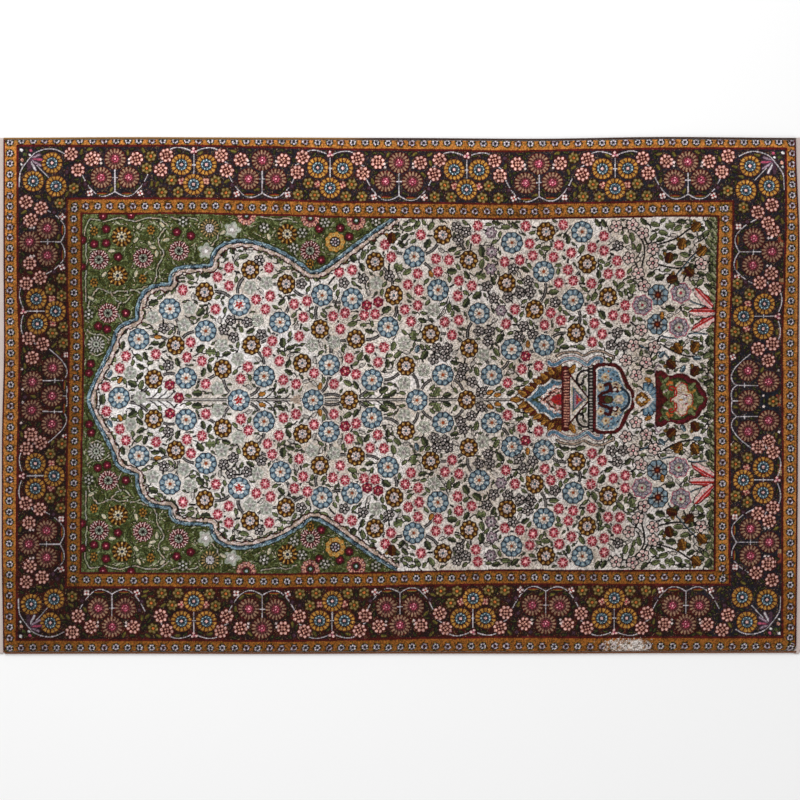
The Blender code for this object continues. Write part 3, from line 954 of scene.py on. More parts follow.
def strew(chart, zone, names, spacing, seed, mirrored, v_to=AXIS, snug=False, twig=0.0, stem="charcoal"):
    """Fills what is free in a zone with leaves at seeded places, each where it touches nothing, or,
    if it is snug, where it only just touches. A twig runs on from each leaf's foot."""
    free = zone & ~chart.taken
    chance = random.Random(seed)
    rows, columns = np.nonzero(zone[::2, ::2])
    all_u, all_v = chart.u[::2, ::2][rows, columns], chart.v[::2, ::2][rows, columns]
    places = []
    v = all_v.min()
    while v < min(all_v.max(), v_to):
        u = all_u.min()
        while u < all_u.max():
            places.append((u + chance.uniform(-0.5, 0.5) * spacing, v + chance.uniform(-0.5, 0.5) * spacing))
            u += spacing
        v += spacing
    chance.shuffle(places)
    for u, v in places:
        row, column = (int(round(float(value))) for value in chart.knot(u, v))
        inside = 0 <= row < KNOTS_ACROSS and 0 <= column < KNOTS_ALONG
        if not inside or not zone[row, column] or chart.taken[row, column]:
            continue
        name = chance.choice(names)
        first = chance.randrange(TURNS)
        for step in range(0, TURNS, 3):
            motif = leaf(name, TURN * (first + step)) if name in LEAVES else flower(name, step // 3)
            print_of = motif if snug else widened(motif)
            if not chart.fits(print_of, u, v):
                continue
            if mirrored and not chart.fits(print_of[::-1], u, near_side(v)):
                continue
            if twig and name in LEAVES:
                reach = LEAVES[name][0] / 2 + twig
                route = [(u, v)]
                for length, turn in ((0.6 * reach, 0.3), (reach, 0.0)):
                    heading = math.radians(TURN * (first + step)) + turn
                    route.append((u - length * math.cos(heading), v + length * math.sin(heading)))
                chart.stroke(route, 1.3, stem, mirrored, free, takes=False)
            chart.place(motif, u, v, mirrored)
            break


def zones(chart):
    """The rug's zones, as masks over the knots."""
    u, v = chart.u, chart.v
    names = ("outer guard", "inner guard", "field")
    at = {
        side: {name: line_at(side, name, u if side in SIDES else v) for name in names}
        for side in LINES
    }

    def beyond(name, shift=0.0):
        """Whether each knot lies inside a line on all four sides, by a distance."""
        inside = np.ones(u.shape, bool)
        for side in LINES:
            here = v if side in SIDES else u
            inside &= (here - at[side][name]) * INWARD[side] > shift
        return inside

    made = {
        "outer guard": ~beyond("outer guard"),
        "outer line": beyond("outer guard") & ~beyond("outer guard", LINE_WIDTH),
        "border": beyond("outer guard", LINE_WIDTH) & ~beyond("inner guard", -LINE_WIDTH),
        "inner line": beyond("inner guard", -LINE_WIDTH) & ~beyond("inner guard"),
        "inner guard": beyond("inner guard") & ~beyond("field"),
        "field line": beyond("field") & ~beyond("field", LINE_WIDTH),
        "field": beyond("field", LINE_WIDTH),
    }
    line = niche_line()
    top = np.interp(u, line[:, 0], line[:, 1])
    folded = np.where(v > AXIS, AXIS - (v - AXIS) / NEAR_SHARE, v)
    outside = (folded < top) & (u < NICHE_END) | (u < NICHE_START[0])
    made["spandrel"] = made["field"] & outside
    made["niche"] = made["field"] & ~outside
    columns = np.arange(KNOTS_ALONG)[None, :] + np.zeros((KNOTS_ACROSS, 1))
    to_end = np.minimum(columns, KNOTS_ALONG - 1 - columns)
    made["rim line"] = to_end < RIM_LINE * KNOTS_A_UNIT
    return made


def weave_grounds(chart, zone):
    """The plain grounds of all the bands, in mottled yarns, with the border's marks of use."""
    u, v = chart.u, chart.v
    border, inner_guard = zone["border"], zone["inner guard"]
    greens = ("moss", "green", "moss", "green", "green", "moss", "light leaf")
    chart.mottle(zone["niche"], ("warm ivory", "ivory", "ivory", "silver"), 22, 1)
    chart.mottle(zone["spandrel"], greens, 2, 3, 0.8)
    chart.mottle(border, ("ink", "aubergine", "ink", "umber", "maroon"), 5, 5, 0.6)
    # The border's black is cooler on the far side and at the right end, up to an uneven front
    drift = 60 * (soft_noise(u.shape, 30 * KNOTS_A_UNIT, 6) - 0.5)
    cool = border & ((v + drift < 240) | (u + drift > 712))
    chart.mottle(cool, ("night", "ink", "night", "navy", "aubergine"), 4, 12, 0.6)
    flecks = np.random.default_rng(16).random(u.shape)
    for share, name in ((0.03, "olive"), (0.05, "mauve"), (0.07, "purple"), (0.09, "wine"), (0.10, "tan")):
        chart.yarn[border & (flecks < share) & (flecks >= share - 0.02)] = NUMBER[name]
    mend = (np.abs(u - MEND[0]) < 9) & (np.abs(v - MEND[1]) < 10)
    chart.mottle(border & mend, ("night", "navy", "night"), 3, 14)
    for number, (at_u, at_v, half) in enumerate(BROWN_PATCHES):
        block = (np.abs(u - at_u) < 2.6) & (np.abs(v - at_v) < half)
        chart.mottle(border & block, ("mauve", "rust", "mauve", "tan"), 3, 15 + 3 * number)
    # The guards' gold is browner along the near side and in the left inner guard, and duller in the
    # far inner guard
    guards = zone["outer guard"] | inner_guard
    brown = guards & ((v > 570) | inner_guard & (u < 82))
    dull = inner_guard & (v < 225) & (u > 82)
    for where, names, seed in (
        (guards, ("guard gold", "guard amber", "guard gold", "guard amber"), 7),
        (brown, ("guard gold", "dark gold", "guard gold", "guard gold"), 8),
        (dull, ("guard gold", "guard gold", "guard amber", "dark gold"), 13),
    ):
        chart.mottle(where, names, 3, seed, 0.5)


def weave_lines(chart, zone):
    """The dark red lines between the bands, tied last so that nothing runs over them."""
    for name in ("outer line", "inner line", "field line", "rim line"):
        chart.mottle(zone[name], ("maroon", "dark red", "dark red", "wine"), 4, 9)


def weave_guards(chart, zone):
    """The rows of small stars on the two gold guard bands."""
    chance = random.Random(11)
    for side in LINES:
        lengthwise = side in SIDES
        first_end, last_end = ENDS if lengthwise else SIDES
        for name, first, second in (
            ("outer guard", "rim", "outer guard"),
            ("inner guard", "inner guard", "field"),
        ):
            low, high = LINES[first_end][first] + 6, LINES[last_end][first] - 6
            count = round((high - low) / GUARD_PITCH[side])
            for number in range(count + 1):
                at = low + (high - low) * number / count + chance.uniform(-0.4, 0.4)
                outer = LINES[side]["rim"] if first == "rim" else float(line_at(side, first, at))
                middle = (outer + float(line_at(side, second, at))) / 2 + chance.uniform(-0.3, 0.3)
                kind = "guard star" if chance.random() < 0.6 else "dark guard star"
                star = flower(kind, chance.randrange(4))
                u, v = (at, middle) if lengthwise else (middle, at)
                chart.place(star, u, v, where=zone[name])


def border_place(side, at, depth):
    """A place on the main border, from its place along a side and its depth in from the outer guard."""
    inwards = INWARD[side] * (LINE_WIDTH + depth * BORDER_SQUEEZE[side])
    across = float(line_at(side, "outer guard", at)) + inwards
    return (at, across) if side in SIDES else (across, at)


def weave_border(chart, zone):
    """The dark main border: groups of gold wheels and of mauve wheels, with daisies, and fine
    white lines that loop round them."""
    land = zone["border"]
    chance = random.Random(13)
    for side, middles in BORDER_GROUPS.items():
        for number, middle in enumerate(middles):
            if number % 2:
                flowers, lines = GOLD_GROUP, GOLD_LINES
            elif side in ENDS and number == 2:
                flowers, lines = LEFT_FIVE if side == "left" else RIGHT_FIVE, FIVE_LINES
            else:
                flowers, lines = MAUVE_GROUP, MAUVE_LINES
            for route in lines:
                for way in (-1, 1):
                    line = [border_place(side, middle + way * at, depth) for at, depth in rounded(route)]
                    chart.stroke(line, WHITE_LINE, "lilac white", where=land)
            for name, offset, depth in flowers:
                for way in (-1, 1) if offset else (1,):
                    u, v = border_place(side, middle + way * offset, depth)
                    if name in LEAVES:
                        motif = leaf(name, 0 if side in SIDES else 90)
                    else:
                        motif = flower(name, chance.randrange(4))
                    chart.place(motif, u, v, where=land)
    for name, places in (("gold wheel", CORNER_WHEELS), ("pink daisy", CORNER_DAISIES)):
        for u, v in places:
            chart.place(flower(name, chance.randrange(4)), u, v, where=land)
    weave_corners(chart, land)
    chart.taken |= ~land
    for names, spacing, seed, snug in (
        (("olive star",), 5, 21, False),
        (("olive leaf", "night leaf", "night fleck"), 5, 22, False),
        (("olive star",), 4, 24, True),
        (("night leaf", "olive leaf"), 3, 23, True),
    ):
        strew(chart, land, names, spacing, seed, False, v_to=math.inf, snug=snug)
    chart.taken &= land


def corner_place(end, side, along, across):
    """A place inwards from a corner of the main border, along and across."""
    v = LINES[side]["outer guard"] + INWARD[side] * (LINE_WIDTH + across)
    u = float(line_at(end, "outer guard", v)) + INWARD[end] * (LINE_WIDTH + along)
    return u, v + float(line_at(side, "outer guard", u)) - LINES[side]["outer guard"]


def weave_corners(chart, land):
    """The border's four corners: a rounded white line, a fan flower inside it and buds outside it."""
    for end in ENDS:
        for side in SIDES:
            for along, across, yarn in CORNER_FAN_TIPS:
                route = (corner_place(end, side, *CORNER_FAN_ROOT), corner_place(end, side, along, across))
                chart.stroke(route, 3.6, "purple", where=land)
                chart.stroke(route, 1.8, yarn, where=land)
            for yarn, along, across, size in CORNER_BUDS:
                u, v = corner_place(end, side, along, across)
                chart.stroke(((u, v), (u + 0.6, v + 0.6)), size * 1.15, yarn, where=land)
            for route in CORNER_LINES:
                points = [corner_place(end, side, *point) for point in rounded(route)]
                chart.stroke(points, WHITE_LINE, "lilac white", where=land)


def weave_niche_edge(chart, zone):
    """The niche's outline: a light blue line, dark inside, then a taupe line with a stepped edge."""
    field = zone["field"]
    coarse = niche_line()
    length = np.concatenate([[0], np.cumsum(np.linalg.norm(np.diff(coarse, axis=0), axis=1))])
    even = np.arange(0, length[-1], 1.5)
    line = np.stack([np.interp(even, length, coarse[:, 0]), np.interp(even, length, coarse[:, 1])], 1)
    normals = np.gradient(line, axis=0)
    normals = np.stack([-normals[:, 1], normals[:, 0]], 1)
    normals /= np.linalg.norm(normals, axis=1)[:, None]
    chance = np.random.default_rng(17)
    for shift, wobble, width, names in (
        (4.9, 0.3, 3.8, ("taupe", "taupe", "shell")),
        (4.5, 1.0, 1.4, ("shell", "taupe")),
        (7.1, 1.5, 1.4, ("maroon", "charcoal")),
        (2.6, 0.6, 1.2, ("charcoal",)),
        (1.5, 0.6, 1.1, ("denim", "navy")),
        (0.0, 0.5, 2.8, ("niche blue", "steel", "niche blue", "denim")),
        (-0.2, 1.2, 1.0, ("pale sky", "sky", "steel")),
        (0.5, 1.3, 0.8, ("denim", "navy")),
        (-1.8, 0.7, 1.1, ("dark moss",)),
    ):
        step = np.repeat(chance.uniform(-1, 1, len(line)), chance.integers(1, 4, len(line)))[:len(line)]
        route = line + (shift + step * wobble)[:, None] * normals
        for start in range(0, len(route) - 1, 4):
            chart.stroke(route[start:start + 5], width, names[start // 4 % len(names)], True, field)


def nearest_pairs(places, longest):
    """Pairs of places that join them all up with the least length, leaving out long ones."""
    points = np.array(places, float)
    joined, pairs = [0], []
    left = set(range(1, len(points)))
    while left:
        length, first, second = min(
            (np.hypot(*(points[a] - points[b])), a, b) for a in joined[-60:] + joined[:1] for b in left
        )
        if length < longest:
            pairs.append((first, second))
        joined.append(second)
        left.discard(second)
    return pairs


def weave_stems(chart, zone):
    """Double stems that join the field's rosettes, and a twig from each small flower to what stands
    nearest, with places for leaves along the stems."""
    chance = random.Random(31)
    rosettes = sorted(
        place for name in ("blue rosette", "red-hearted rosette", "gold rosette") for place in FIELD[name]
    )
    spots = []
    for first, second in nearest_pairs(rosettes, 70):
        (u0, v0), (u1, v1) = rosettes[first], rosettes[second]
        points = bowed(rosettes[first], rosettes[second], chance.choice((-0.22, 0.22)), 8)
        chart.stroke(points, 3.3, "charcoal", True, zone)
        chart.stroke(points, 1.0, "stone", True, zone)
        heading = math.degrees(math.atan2(-(v1 - v0), u1 - u0))
        spots += [(*points[3], heading), (*points[6], heading)]
    hubs = list(rosettes)
    for name in (
        "crimson flower", "plum flower", "outline flower", "pale flower", "lilac flower",
        "great lilac flower", "dark blue rosette",
    ):
        for u, v in FIELD[name]:
            near = min(hubs, key=lambda hub: math.hypot(hub[0] - u, hub[1] - v))
            points = bowed((u, v), near, -chance.uniform(-0.25, 0.25), 6)
            chart.stroke(points, 2.0, "charcoal", True, zone)
            spots.append((*points[3], math.degrees(math.atan2(v - near[1], near[0] - u))))
            hubs.append((u, v))
    return spots


def weave_axis(chart, zone):
    """The double stem along the axis, with its feathered leaves and the buds beside it."""
    for u0, u1 in ((128, 228), (250, 302), (324, 339), (359, 406), (428, 457), (477, 526)):
        chart.stroke(((u0, AXIS), (u1, AXIS)), 3.4, "slate", where=zone)
        chart.stroke(((u0, AXIS), (u1, AXIS)), 1.6, "pale stone", where=zone)
    for u, reach in (
        (150, 8), (158, 11), (166, 8), (256, 9), (264, 9), (284, 6), (366, 9), (376, 8), (440, 8),
        (486, 8), (512, 7),
    ):
        route = ((u, AXIS - 1), (u + reach * 0.6, AXIS - reach * 0.5), (u + reach, AXIS - reach))
        chart.stroke(route, 1.3, "slate", True, zone)
    chart.fill(((290, 401), (294, 396), (301, 394), (299, 401)), "taupe", True)
    for u, v, degrees, name in (
        (262, 394, 15, "gold bud"), (281, 391, 30, "dark leaf"), (300, 389, 60, "small leaf"),
        (372, 391, 45, "oak leaf"), (384, 390, 30, "broad leaf"), (393, 393, 45, "dark leaf"),
        (387, 396, 10, "dark leaf"), (366, 395, 30, "small leaf"), (437, 392, 60, "oak leaf"),
        (447, 395, 20, "dark leaf"), (432, 395, 160, "small leaf"), (490, 392, 30, "gold bud"),
        (498, 395, 15, "gold bud"), (503, 390, 45, "small leaf"), (511, 393, 30, "dark leaf"),
        (160, 390, 70, "small leaf"), (148, 393, 130, "small leaf"), (214, 392, 70, "small leaf"),
    ):
        chart.place(leaf(name, degrees), u, v, True, zone)


def weave_field(chart, zone):
    """The ivory niche, full of flowers on fine stems with leaves between them."""
    ground = zone["niche"]
    chance = random.Random(33)
    spots = weave_stems(chart, ground)
    weave_axis(chart, ground)
    weave_vines(chart, ground)
    for name in sorted(FIELD, key=lambda name: "ghost" not in name):
        for u, v in FIELD[name]:
            chart.place(flower(name, chance.randrange(5)), u, v, True, ground)
    for name, places in BUDS.items():
        for u, v, degrees in places:
            if "tulip" in name:  # a petal and a leaf open on its two sides
                for aside, lobe in ((-62, "broad leaf"), (62, "gold petal")):
                    turn = math.radians(degrees + aside)
                    at = (u + 4.2 * math.cos(turn), v - 4.2 * math.sin(turn))
                    chart.place(leaf(lobe, degrees + aside), *at, True, ground)
            chart.place(leaf(name, degrees), u, v, True, ground)
    weave_vase(chart)
    blocked = ~ground
    chart.taken |= blocked
    strew(chart, ground, ("leaf", "broad leaf", "oak leaf", "dark leaf"), 4, 41, True, twig=6.0)
    for u, v, heading in spots:
        for aside in (-1, 1):
            angle = math.radians(heading + 60 * aside)
            at = (u + 5.2 * math.cos(angle), v - 5.2 * math.sin(angle))
            name = chance.choice(("leaf", "small leaf", "dark leaf", "tiny leaf"))
            motif = leaf(name, heading + 60 * aside)
            if chart.fits(motif, *at):
                chart.place(motif, *at, True)
    strew(chart, ground, ("outline flower", "leaf", "hollow leaf"), 6, 42, True, snug=True, twig=5.0)
    strew(chart, ground, ("small leaf", "dark leaf", "small leaf"), 3, 43, True, snug=True, twig=5.0)
    strew(chart, ground, ("tiny leaf", "small leaf"), 3, 44, True, snug=True, twig=3.0)
    chart.taken[blocked] = False


def weave_vines(chart, zone):
    """Dark vines, with a pale blue thread in them, that wind between the buds near the vase's foot."""
    for route in VINES:
        chart.stroke(rounded(route), 1.9, "charcoal", True, zone)
    for route in VINES[::2]:
        chart.stroke(rounded(route) + (0.4, 0.4), 0.6, "steel", True, zone)


def weave_vase(chart):
    """The vase of the flowers, lying along the axis with its foot to the right. Only the far half
    is listed, and an outline that ends at v = 401 just crosses the axis."""
    weave_spearhead(chart)
    weave_neck(chart)
    weave_body(chart)
    weave_foot(chart)


def weave_spearhead(chart):
    """The vase's lid: gold flames round a blue cone with a red heart, on a dark collar."""
    chart.fill(((512, 401), (519, 394), (530, 386), (545, 374), (562, 364), (563, 401)), "ivory", True)
    for u, v, degrees, name in (
        (527, 391, 150, "dark flame"), (534, 385.5, 150, "dark flame"), (541, 380, 140, "dark flame"),
        (548, 375, 135, "dark flame"), (555, 370, 120, "dark flame"), (516, 399.7, 180, "gold flame"),
        (523, 393.5, 150, "gold flame"), (530, 388.5, 160, "gold flame"), (538, 382, 145, "gold flame"),
        (545, 377, 140, "gold flame"), (551, 371.5, 125, "gold flame"), (559, 367, 105, "gold flame"),
    ):
        chart.place(leaf(name, degrees), u, v, True)
    lid = ((520, 401), (528, 394), (536, 388), (545, 380), (552, 375), (563, 370), (563, 401))
    chart.fill(lid, "dark gold", True, "maroon")
    steps = (
        (524, 401), (530, 395), (536, 389), (538, 385), (544, 385), (549, 381), (551, 378), (556, 380),
        (562, 380), (562, 401),
    )
    chart.fill(steps, "white", True)
    chart.fill([*drawn_in(steps[:-2], 1.3, 1.3), (562, 381.5), (562, 401)], "blue", True, "denim")
    chart.fill(((531, 401), (537, 397), (545, 394), (546, 401)), "moss", True)
    cone = (
        (538, 401), (542, 395.5), (546, 393), (548, 389), (552, 388), (554, 384.5), (558, 386), (562, 384),
        (562, 401),
    )
    chart.fill(cone, "silver", True, "blush")
    chart.fill([*drawn_in(cone[:-2], 2.4, 1.6), (562, 387), (562, 401)], "maroon", True, "salmon")
    chart.fill([*drawn_in(cone[1:-2], 4.6, 3.6), (562, 389), (562, 401)], "blush", True, "moss")
    chart.fill(((550, 401), (553, 396.5), (558, 394), (562, 394), (562, 401)), "red", True, "crimson")
    chart.fill(((561.5, 401), (561.5, 367), (565, 365), (570, 367), (570, 401)), "maroon", True, "wine")
    for step in range(11):
        v = 400 - 2.9 * step
        chart.stroke(((564.6, v), (568.4, v - 0.3)), 1.4, "salmon", True)
    chart.place(leaf("gold flame", 60), 572, 369, True)


def weave_neck(chart):
    """The vase's neck: a nested triangle between dark lines with hooks, a beaded bar, and two blue
    scroll handles."""
    chart.fill(((571, 401), (571, 383), (588, 401)), "cream", True, "shell")
    for left, top, right, yarn in (
        (572.3, 386, 586, "denim"),
        (574, 390, 584, "lilac"),
        (576, 394, 582, "crimson"),
        (577.5, 397.5, 580.5, "orange"),
    ):
        chart.fill(((left, 401), (left, top), (right, 401)), yarn, True)
    chart.stroke(((568, 372), (573, 379), (580, 388), (589, 399)), 1.9, "maroon", True)
    hook = ((590, 371), (583, 370), (578, 374), (576, 380), (578, 385), (583, 384), (583, 380))
    chart.stroke(rounded(hook), 2.4, "charcoal", True)
    chart.stroke(rounded(((588, 374), (582, 374), (580, 379))), 1.4, "pale stone", True)
    chart.fill(((587.5, 401), (587.5, 367), (590, 364.5), (594.5, 364.5), (594.5, 401)), "charcoal", True)
    for step in range(11):
        v = 400 - 3.3 * step
        chart.stroke(((590, v), (591.6, v)), 1.5, "pale stone", True)
    outer = (
        (557, 356), (562, 353), (568, 352), (577, 352), (584, 356.5), (590, 351.5), (598, 350.5),
        (605, 352), (610, 355.5), (614, 356), (613, 359),
    )
    handle = (
        (549, 362), (551, 365), (557, 364.5), (564, 359), (572, 357.5), (580, 360), (587, 366),
        (591, 361), (596, 357.5), (602, 358.5), (601, 362),
    )
    for route, width, yarn in (
        (outer, 3.2, "charcoal"),
        (outer, 1.4, "taupe"),
        (handle, 6.2, "maroon"),
        (handle, 4.7, "shell"),
        (handle, 3.4, "blue"),
        (handle[3:7], 1.0, "pale sky"),
    ):
        chart.stroke(rounded(route), width, yarn, True)


def weave_body(chart):
    """The vase's blue body, with its cream flowers and dark scrolls."""
    body = (
        (593, 401), (593, 366), (597, 363), (604, 362.5), (616, 363), (622, 368), (626, 376),
        (629, 384), (634, 391), (635.5, 401),
    )
    chart.fill(body, "maroon", True, "wine")
    inner = (
        (596, 401), (596, 369), (599, 367), (606, 366), (614, 367), (619, 371), (622, 379),
        (625, 386), (630, 392), (632, 401),
    )
    chart.fill(inner, "white", True)
    chart.fill(drawn_in(inner, 1.2, 1.1, 1.1, 605), "blue", True, "sky")
    chart.fill(((611, 383), (616, 381), (622, 386), (620, 391), (614, 390)), "cream", True)
    for u, v in ((605.5, 377), (600.5, 387), (617, 388)):
        chart.place(flower("cream flower"), u, v, True)
    for u, v, size, yarn in (
        (608, 371, 1.6, "orange"), (603, 370, 1.8, "navy"), (611, 379, 1.8, "rust"),
        (613, 374, 2.6, "denim"), (617, 376, 2.0, "navy"), (600, 373, 2.0, "denim"),
        (610, 383, 2.0, "moss"), (598.5, 380, 1.8, "moss"), (616, 384, 2.0, "wine"),
    ):
        chart.stroke(((u, v), (u + 0.4, v + 0.4)), size, yarn, True)
    scroll = ((605, 385), (609, 383), (611, 388), (608, 392), (602, 393), (599, 396))
    chart.stroke(rounded(scroll), 3.4, "maroon", True)
    chart.fill(((598, 401), (600, 396), (606, 395), (612, 396), (614, 401)), "maroon", True)
    chart.fill(((604, 401), (606, 396), (611, 397), (612, 401)), "moss", True)
    chart.stroke(((612, 391), (615, 388), (617, 391)), 3.6, "maroon", True)
    chart.stroke(((614, 390), (615, 389.6)), 2.6, "white", True)
    chart.fill(((613, 401), (616, 395.5), (622, 395), (624.5, 401)), "cream", True)
    chart.fill(((616, 401), (618, 398), (621, 398), (622, 401)), "shell", True)
    chart.stroke(rounded(((621, 388), (626, 391), (629, 396), (629, 400))), 2.6, "navy", True)
    chart.stroke(((624, 385), (627, 389)), 1.4, "moss", True)
    weave_lotus(chart)


def weave_lotus(chart):
    """The blue lotus between the vase's body and its foot, with a gold heart."""
    petals = []
    for degrees, reach in ((0, 15), (20, 15.5), (41, 15), (62, 15), (84, 14)):
        turn = math.radians(degrees)
        tip = (644 + reach * math.cos(turn), 400 - 1.08 * reach * math.sin(turn))
        petals.append((tip, ((644 + tip[0]) / 2 + 1, (400 + tip[1]) / 2)))
    for tip, knee in petals:
        chart.stroke(((644, 400), knee, tip), 6.0, "navy", True)
    for tip, knee in petals:
        chart.stroke((knee, tip), 4.0, "blue", True)
        chart.stroke((knee, (0.3 * knee[0] + 0.7 * tip[0], 0.3 * knee[1] + 0.7 * tip[1])), 2.0, "sky", True)
    chart.fill(((633, 401), (635, 393), (641, 389.5), (648, 392), (654, 401)), "white", True, "shell")
    heart = ((634.5, 401), (636.5, 395), (641, 391.5), (646, 394), (651, 401))
    chart.fill(heart, "dark gold", True, "gold")
    for u, v in ((638, 397), (642, 394.5), (645, 397.5), (648, 400)):
        chart.stroke(((u, v), (u + 1, v + 0.5)), 1.5, "bright gold", True)
    chart.stroke(((639, 400), (644, 400)), 2.2, "white", True)
    chart.stroke(((641.5, 397.6), (641.5, 401)), 1.6, "white", True)


def weave_foot(chart):
    """The vase's foot: a shield-shaped green palmette, edged in wine, with a cream flower and red
    scrolls in it."""
    shield = (
        (656, 401), (655.5, 386), (654.5, 374), (656, 371), (661, 370), (665, 372), (668, 375),
        (672, 375.5), (676, 373.5), (682, 373), (688, 375), (691, 378), (696, 379), (700, 383),
        (702, 388), (706, 392), (708, 401),
    )
    chart.stroke(rounded(((656, 375), (655, 369), (658, 364), (661, 367))), 1.8, "lilac", True)
    chart.fill(shield, "maroon", True, "wine")
    for left, right, down, yarn, flecks in (
        (2.0, 1.6, 1.9, "wine", "plum"),
        (3.4, 3.2, 4.4, "dark moss", "moss"),
        (5.5, 4.4, 6.4, "green", "light leaf"),
    ):
        chart.fill(drawn_in(shield, down, left, right, 660), yarn, True, flecks)
    root = ((656, 401), (656, 391), (659, 388), (662, 390), (663, 395), (667, 398), (669, 401))
    chart.fill(root, "maroon", True, "wine")
    chart.stroke(((658, 380), (661, 384), (658, 388)), 2.4, "wine", True)
    lotus = (
        (671, 401), (675, 397), (675, 391), (678, 386), (682, 383), (686, 385), (687, 390), (690, 393),
        (692, 396), (692, 401),
    )
    chart.stroke(lotus, 2.2, "red", True)
    chart.fill(lotus, "cream", True, "shell")
    chart.stroke(((679, 400), (679, 395), (683, 391)), 0.9, "blush", True)
    chart.fill(((677, 401), (681, 396), (685, 395), (688, 401)), "white", True, "shell")
    for route, width, yarn in (
        (((680, 399.6), (682, 399.6)), 2.0, "bright gold"),
        (((685, 395), (687, 395.5)), 1.5, "crimson"),
        (((690, 388), (694, 384)), 3.0, "light leaf"),
        (((665, 381), (668, 378)), 2.6, "light leaf"),
        (((698, 397), (702, 398)), 2.6, "light leaf"),
        (rounded(((676, 396), (677, 391), (674, 387), (670, 386), (669, 389), (672, 390))), 1.8, "red"),
        (((667, 385), (669, 382), (672, 383)), 2.6, "orange"),
        (((676, 386), (680, 382)), 2.0, "cream"),
        (rounded(((688, 392), (692, 393), (695, 390))), 2.2, "bright gold"),
        (((664, 392), (667, 390)), 1.8, "shell"),
    ):
        chart.stroke(route, width, yarn, True)


def weave_spandrels(chart, zone):
    """The green spandrels beyond the niche, with their flowers and cloud lines."""
    ground = zone["spandrel"]
    chance = np.random.default_rng(49)
    for route in CLOUD_LINES:
        curve = rounded(route)
        curve += chance.uniform(-0.8, 0.8, curve.shape)
        chart.stroke(curve + (1.1, 1.1), 1.5, "dark moss", True, ground)
        chart.stroke(curve - (1.0, 1.0), 1.1, "dark moss", True, ground)
        for part in range(0, len(curve) - 1, 2):
            yarn = ("pale stone", "taupe", "pale leaf")[part // 2 % 3]
            chart.stroke(curve[part:part + 3], 1.0, yarn, True, ground)
    for name, places in SPANDREL.items():
        for number, (u, v) in enumerate(places):
            motif = leaf(name, 40 + 75 * number) if name in LEAVES else flower(name, number % 5)
            chart.place(motif, u, v, True, ground)
    outside = ~ground
    chart.taken |= outside
    for names, spacing, seed, snug, twig, stem in (
        (("moss leaf", "white star", "small gold"), 7, 50, False, 4.0, "dark moss"),
        (("moss leaf", "pale fleck"), 4, 51, False, 4.0, "dark moss"),
        (("pale moss leaf", "pale fleck", "moss leaf"), 3, 52, True, 3.0, "pale leaf"),
    ):
        strew(chart, ground, names, spacing, seed, True, snug=snug, twig=twig, stem=stem)
    chart.taken[outside] = False


def weave_foot_strip(chart, zone):
    """The narrow strip of slanting green leaves along the field's right end, with a toothed edge."""
    edge_u = 707.5 + smooth_steps((0, 0.6, -0.6, 0.4, 0), (chart.v - 215) / 360)
    past = chart.u - edge_u - 2.2 * np.abs((chart.v / 3.0) % 2 - 1) + 0.8
    strip = zone["niche"] & (past > 0)
    chart.mottle(strip, ("green", "light leaf", "pale leaf", "moss"), 3, 61)
    for number in range(50):
        chart.place(leaf("strip leaf", -45), 712.4, 217 + 7.3 * number, where=strip)
    chart.yarn[strip & (past < 1.9)] = NUMBER["cream"]
    chart.yarn[strip & (past < 0.8)] = NUMBER["charcoal"]
    chart.taken |= zone["niche"] & (past > -3)


def stray_knots(chart):
    """Knots here and there that were tied in the next shade."""
    other = np.arange(len(YARNS) + 1, dtype=np.uint8)
    for name, stray in STRAY_YARNS.items():
        other[NUMBER[name]] = NUMBER[stray]
    chance = np.random.default_rng(73)
    strays = chance.random(chart.yarn.shape) < STRAY_SHARE
    chart.yarn[strays] = other[chart.yarn[strays]]


def worn_patches(chart):
    """Wear at the near edge: a stretch of the outer guard has faded, and a few nicks show the warp."""
    chance = np.random.default_rng(71)
    grain = soft_noise(chart.yarn.shape, 3.0, 72)
    patch = np.exp(-(((chart.u - FADED[0]) / 26) ** 4) - (((chart.v - FADED[1]) / 9.5) ** 4))
    worn = chance.random(patch.shape) * 0.5 + grain * 0.5
    chart.yarn[worn < 0.62 * patch] = NUMBER["taupe"]
    chart.yarn[worn < 0.46 * patch] = NUMBER["ivory"]
    for u in NICKS:
        nick = np.exp(-(((chart.u - u) / 2.4) ** 2) - (((chart.v - 653.4) / 1.8) ** 2))
        chart.yarn[nick > 0.5] = NUMBER["ivory"]


def weave_chart():
    """The whole chart, from the grounds up."""
    chart = Chart()
    zone = zones(chart)
    weave_grounds(chart, zone)
    weave_border(chart, zone)
    weave_guards(chart, zone)
    weave_foot_strip(chart, zone)
    weave_spandrels(chart, zone)
    weave_field(chart, zone)
    weave_niche_edge(chart, zone)
    weave_lines(chart, zone)
    stray_knots(chart)
    worn_patches(chart)
    return chart


PILE_DEPTH = 1.18  # light is lost between the tufts, the more so the darker their dye
DYE_STRENGTH = 0.82  # what light and wear have left of the dyes
DARK_DYE_STRENGTH = 0.94  # the dark dyes have faded less
DARK_GREY = 0.2  # the grey from which a dye counts as dark
WARMTH = (0.0, 0.07, 0.28)  # what the brown wool under a dark dye takes from each colour


def linear(code):
    """An sRGB hex colour as linear red, green and blue."""
    parts = [int(code[place:place + 2], 16) / 255 for place in (0, 2, 4)]
    return tuple(part / 12.92 if part <= 0.04045 else ((part + 0.055) / 1.055) ** 2.4 for part in parts)


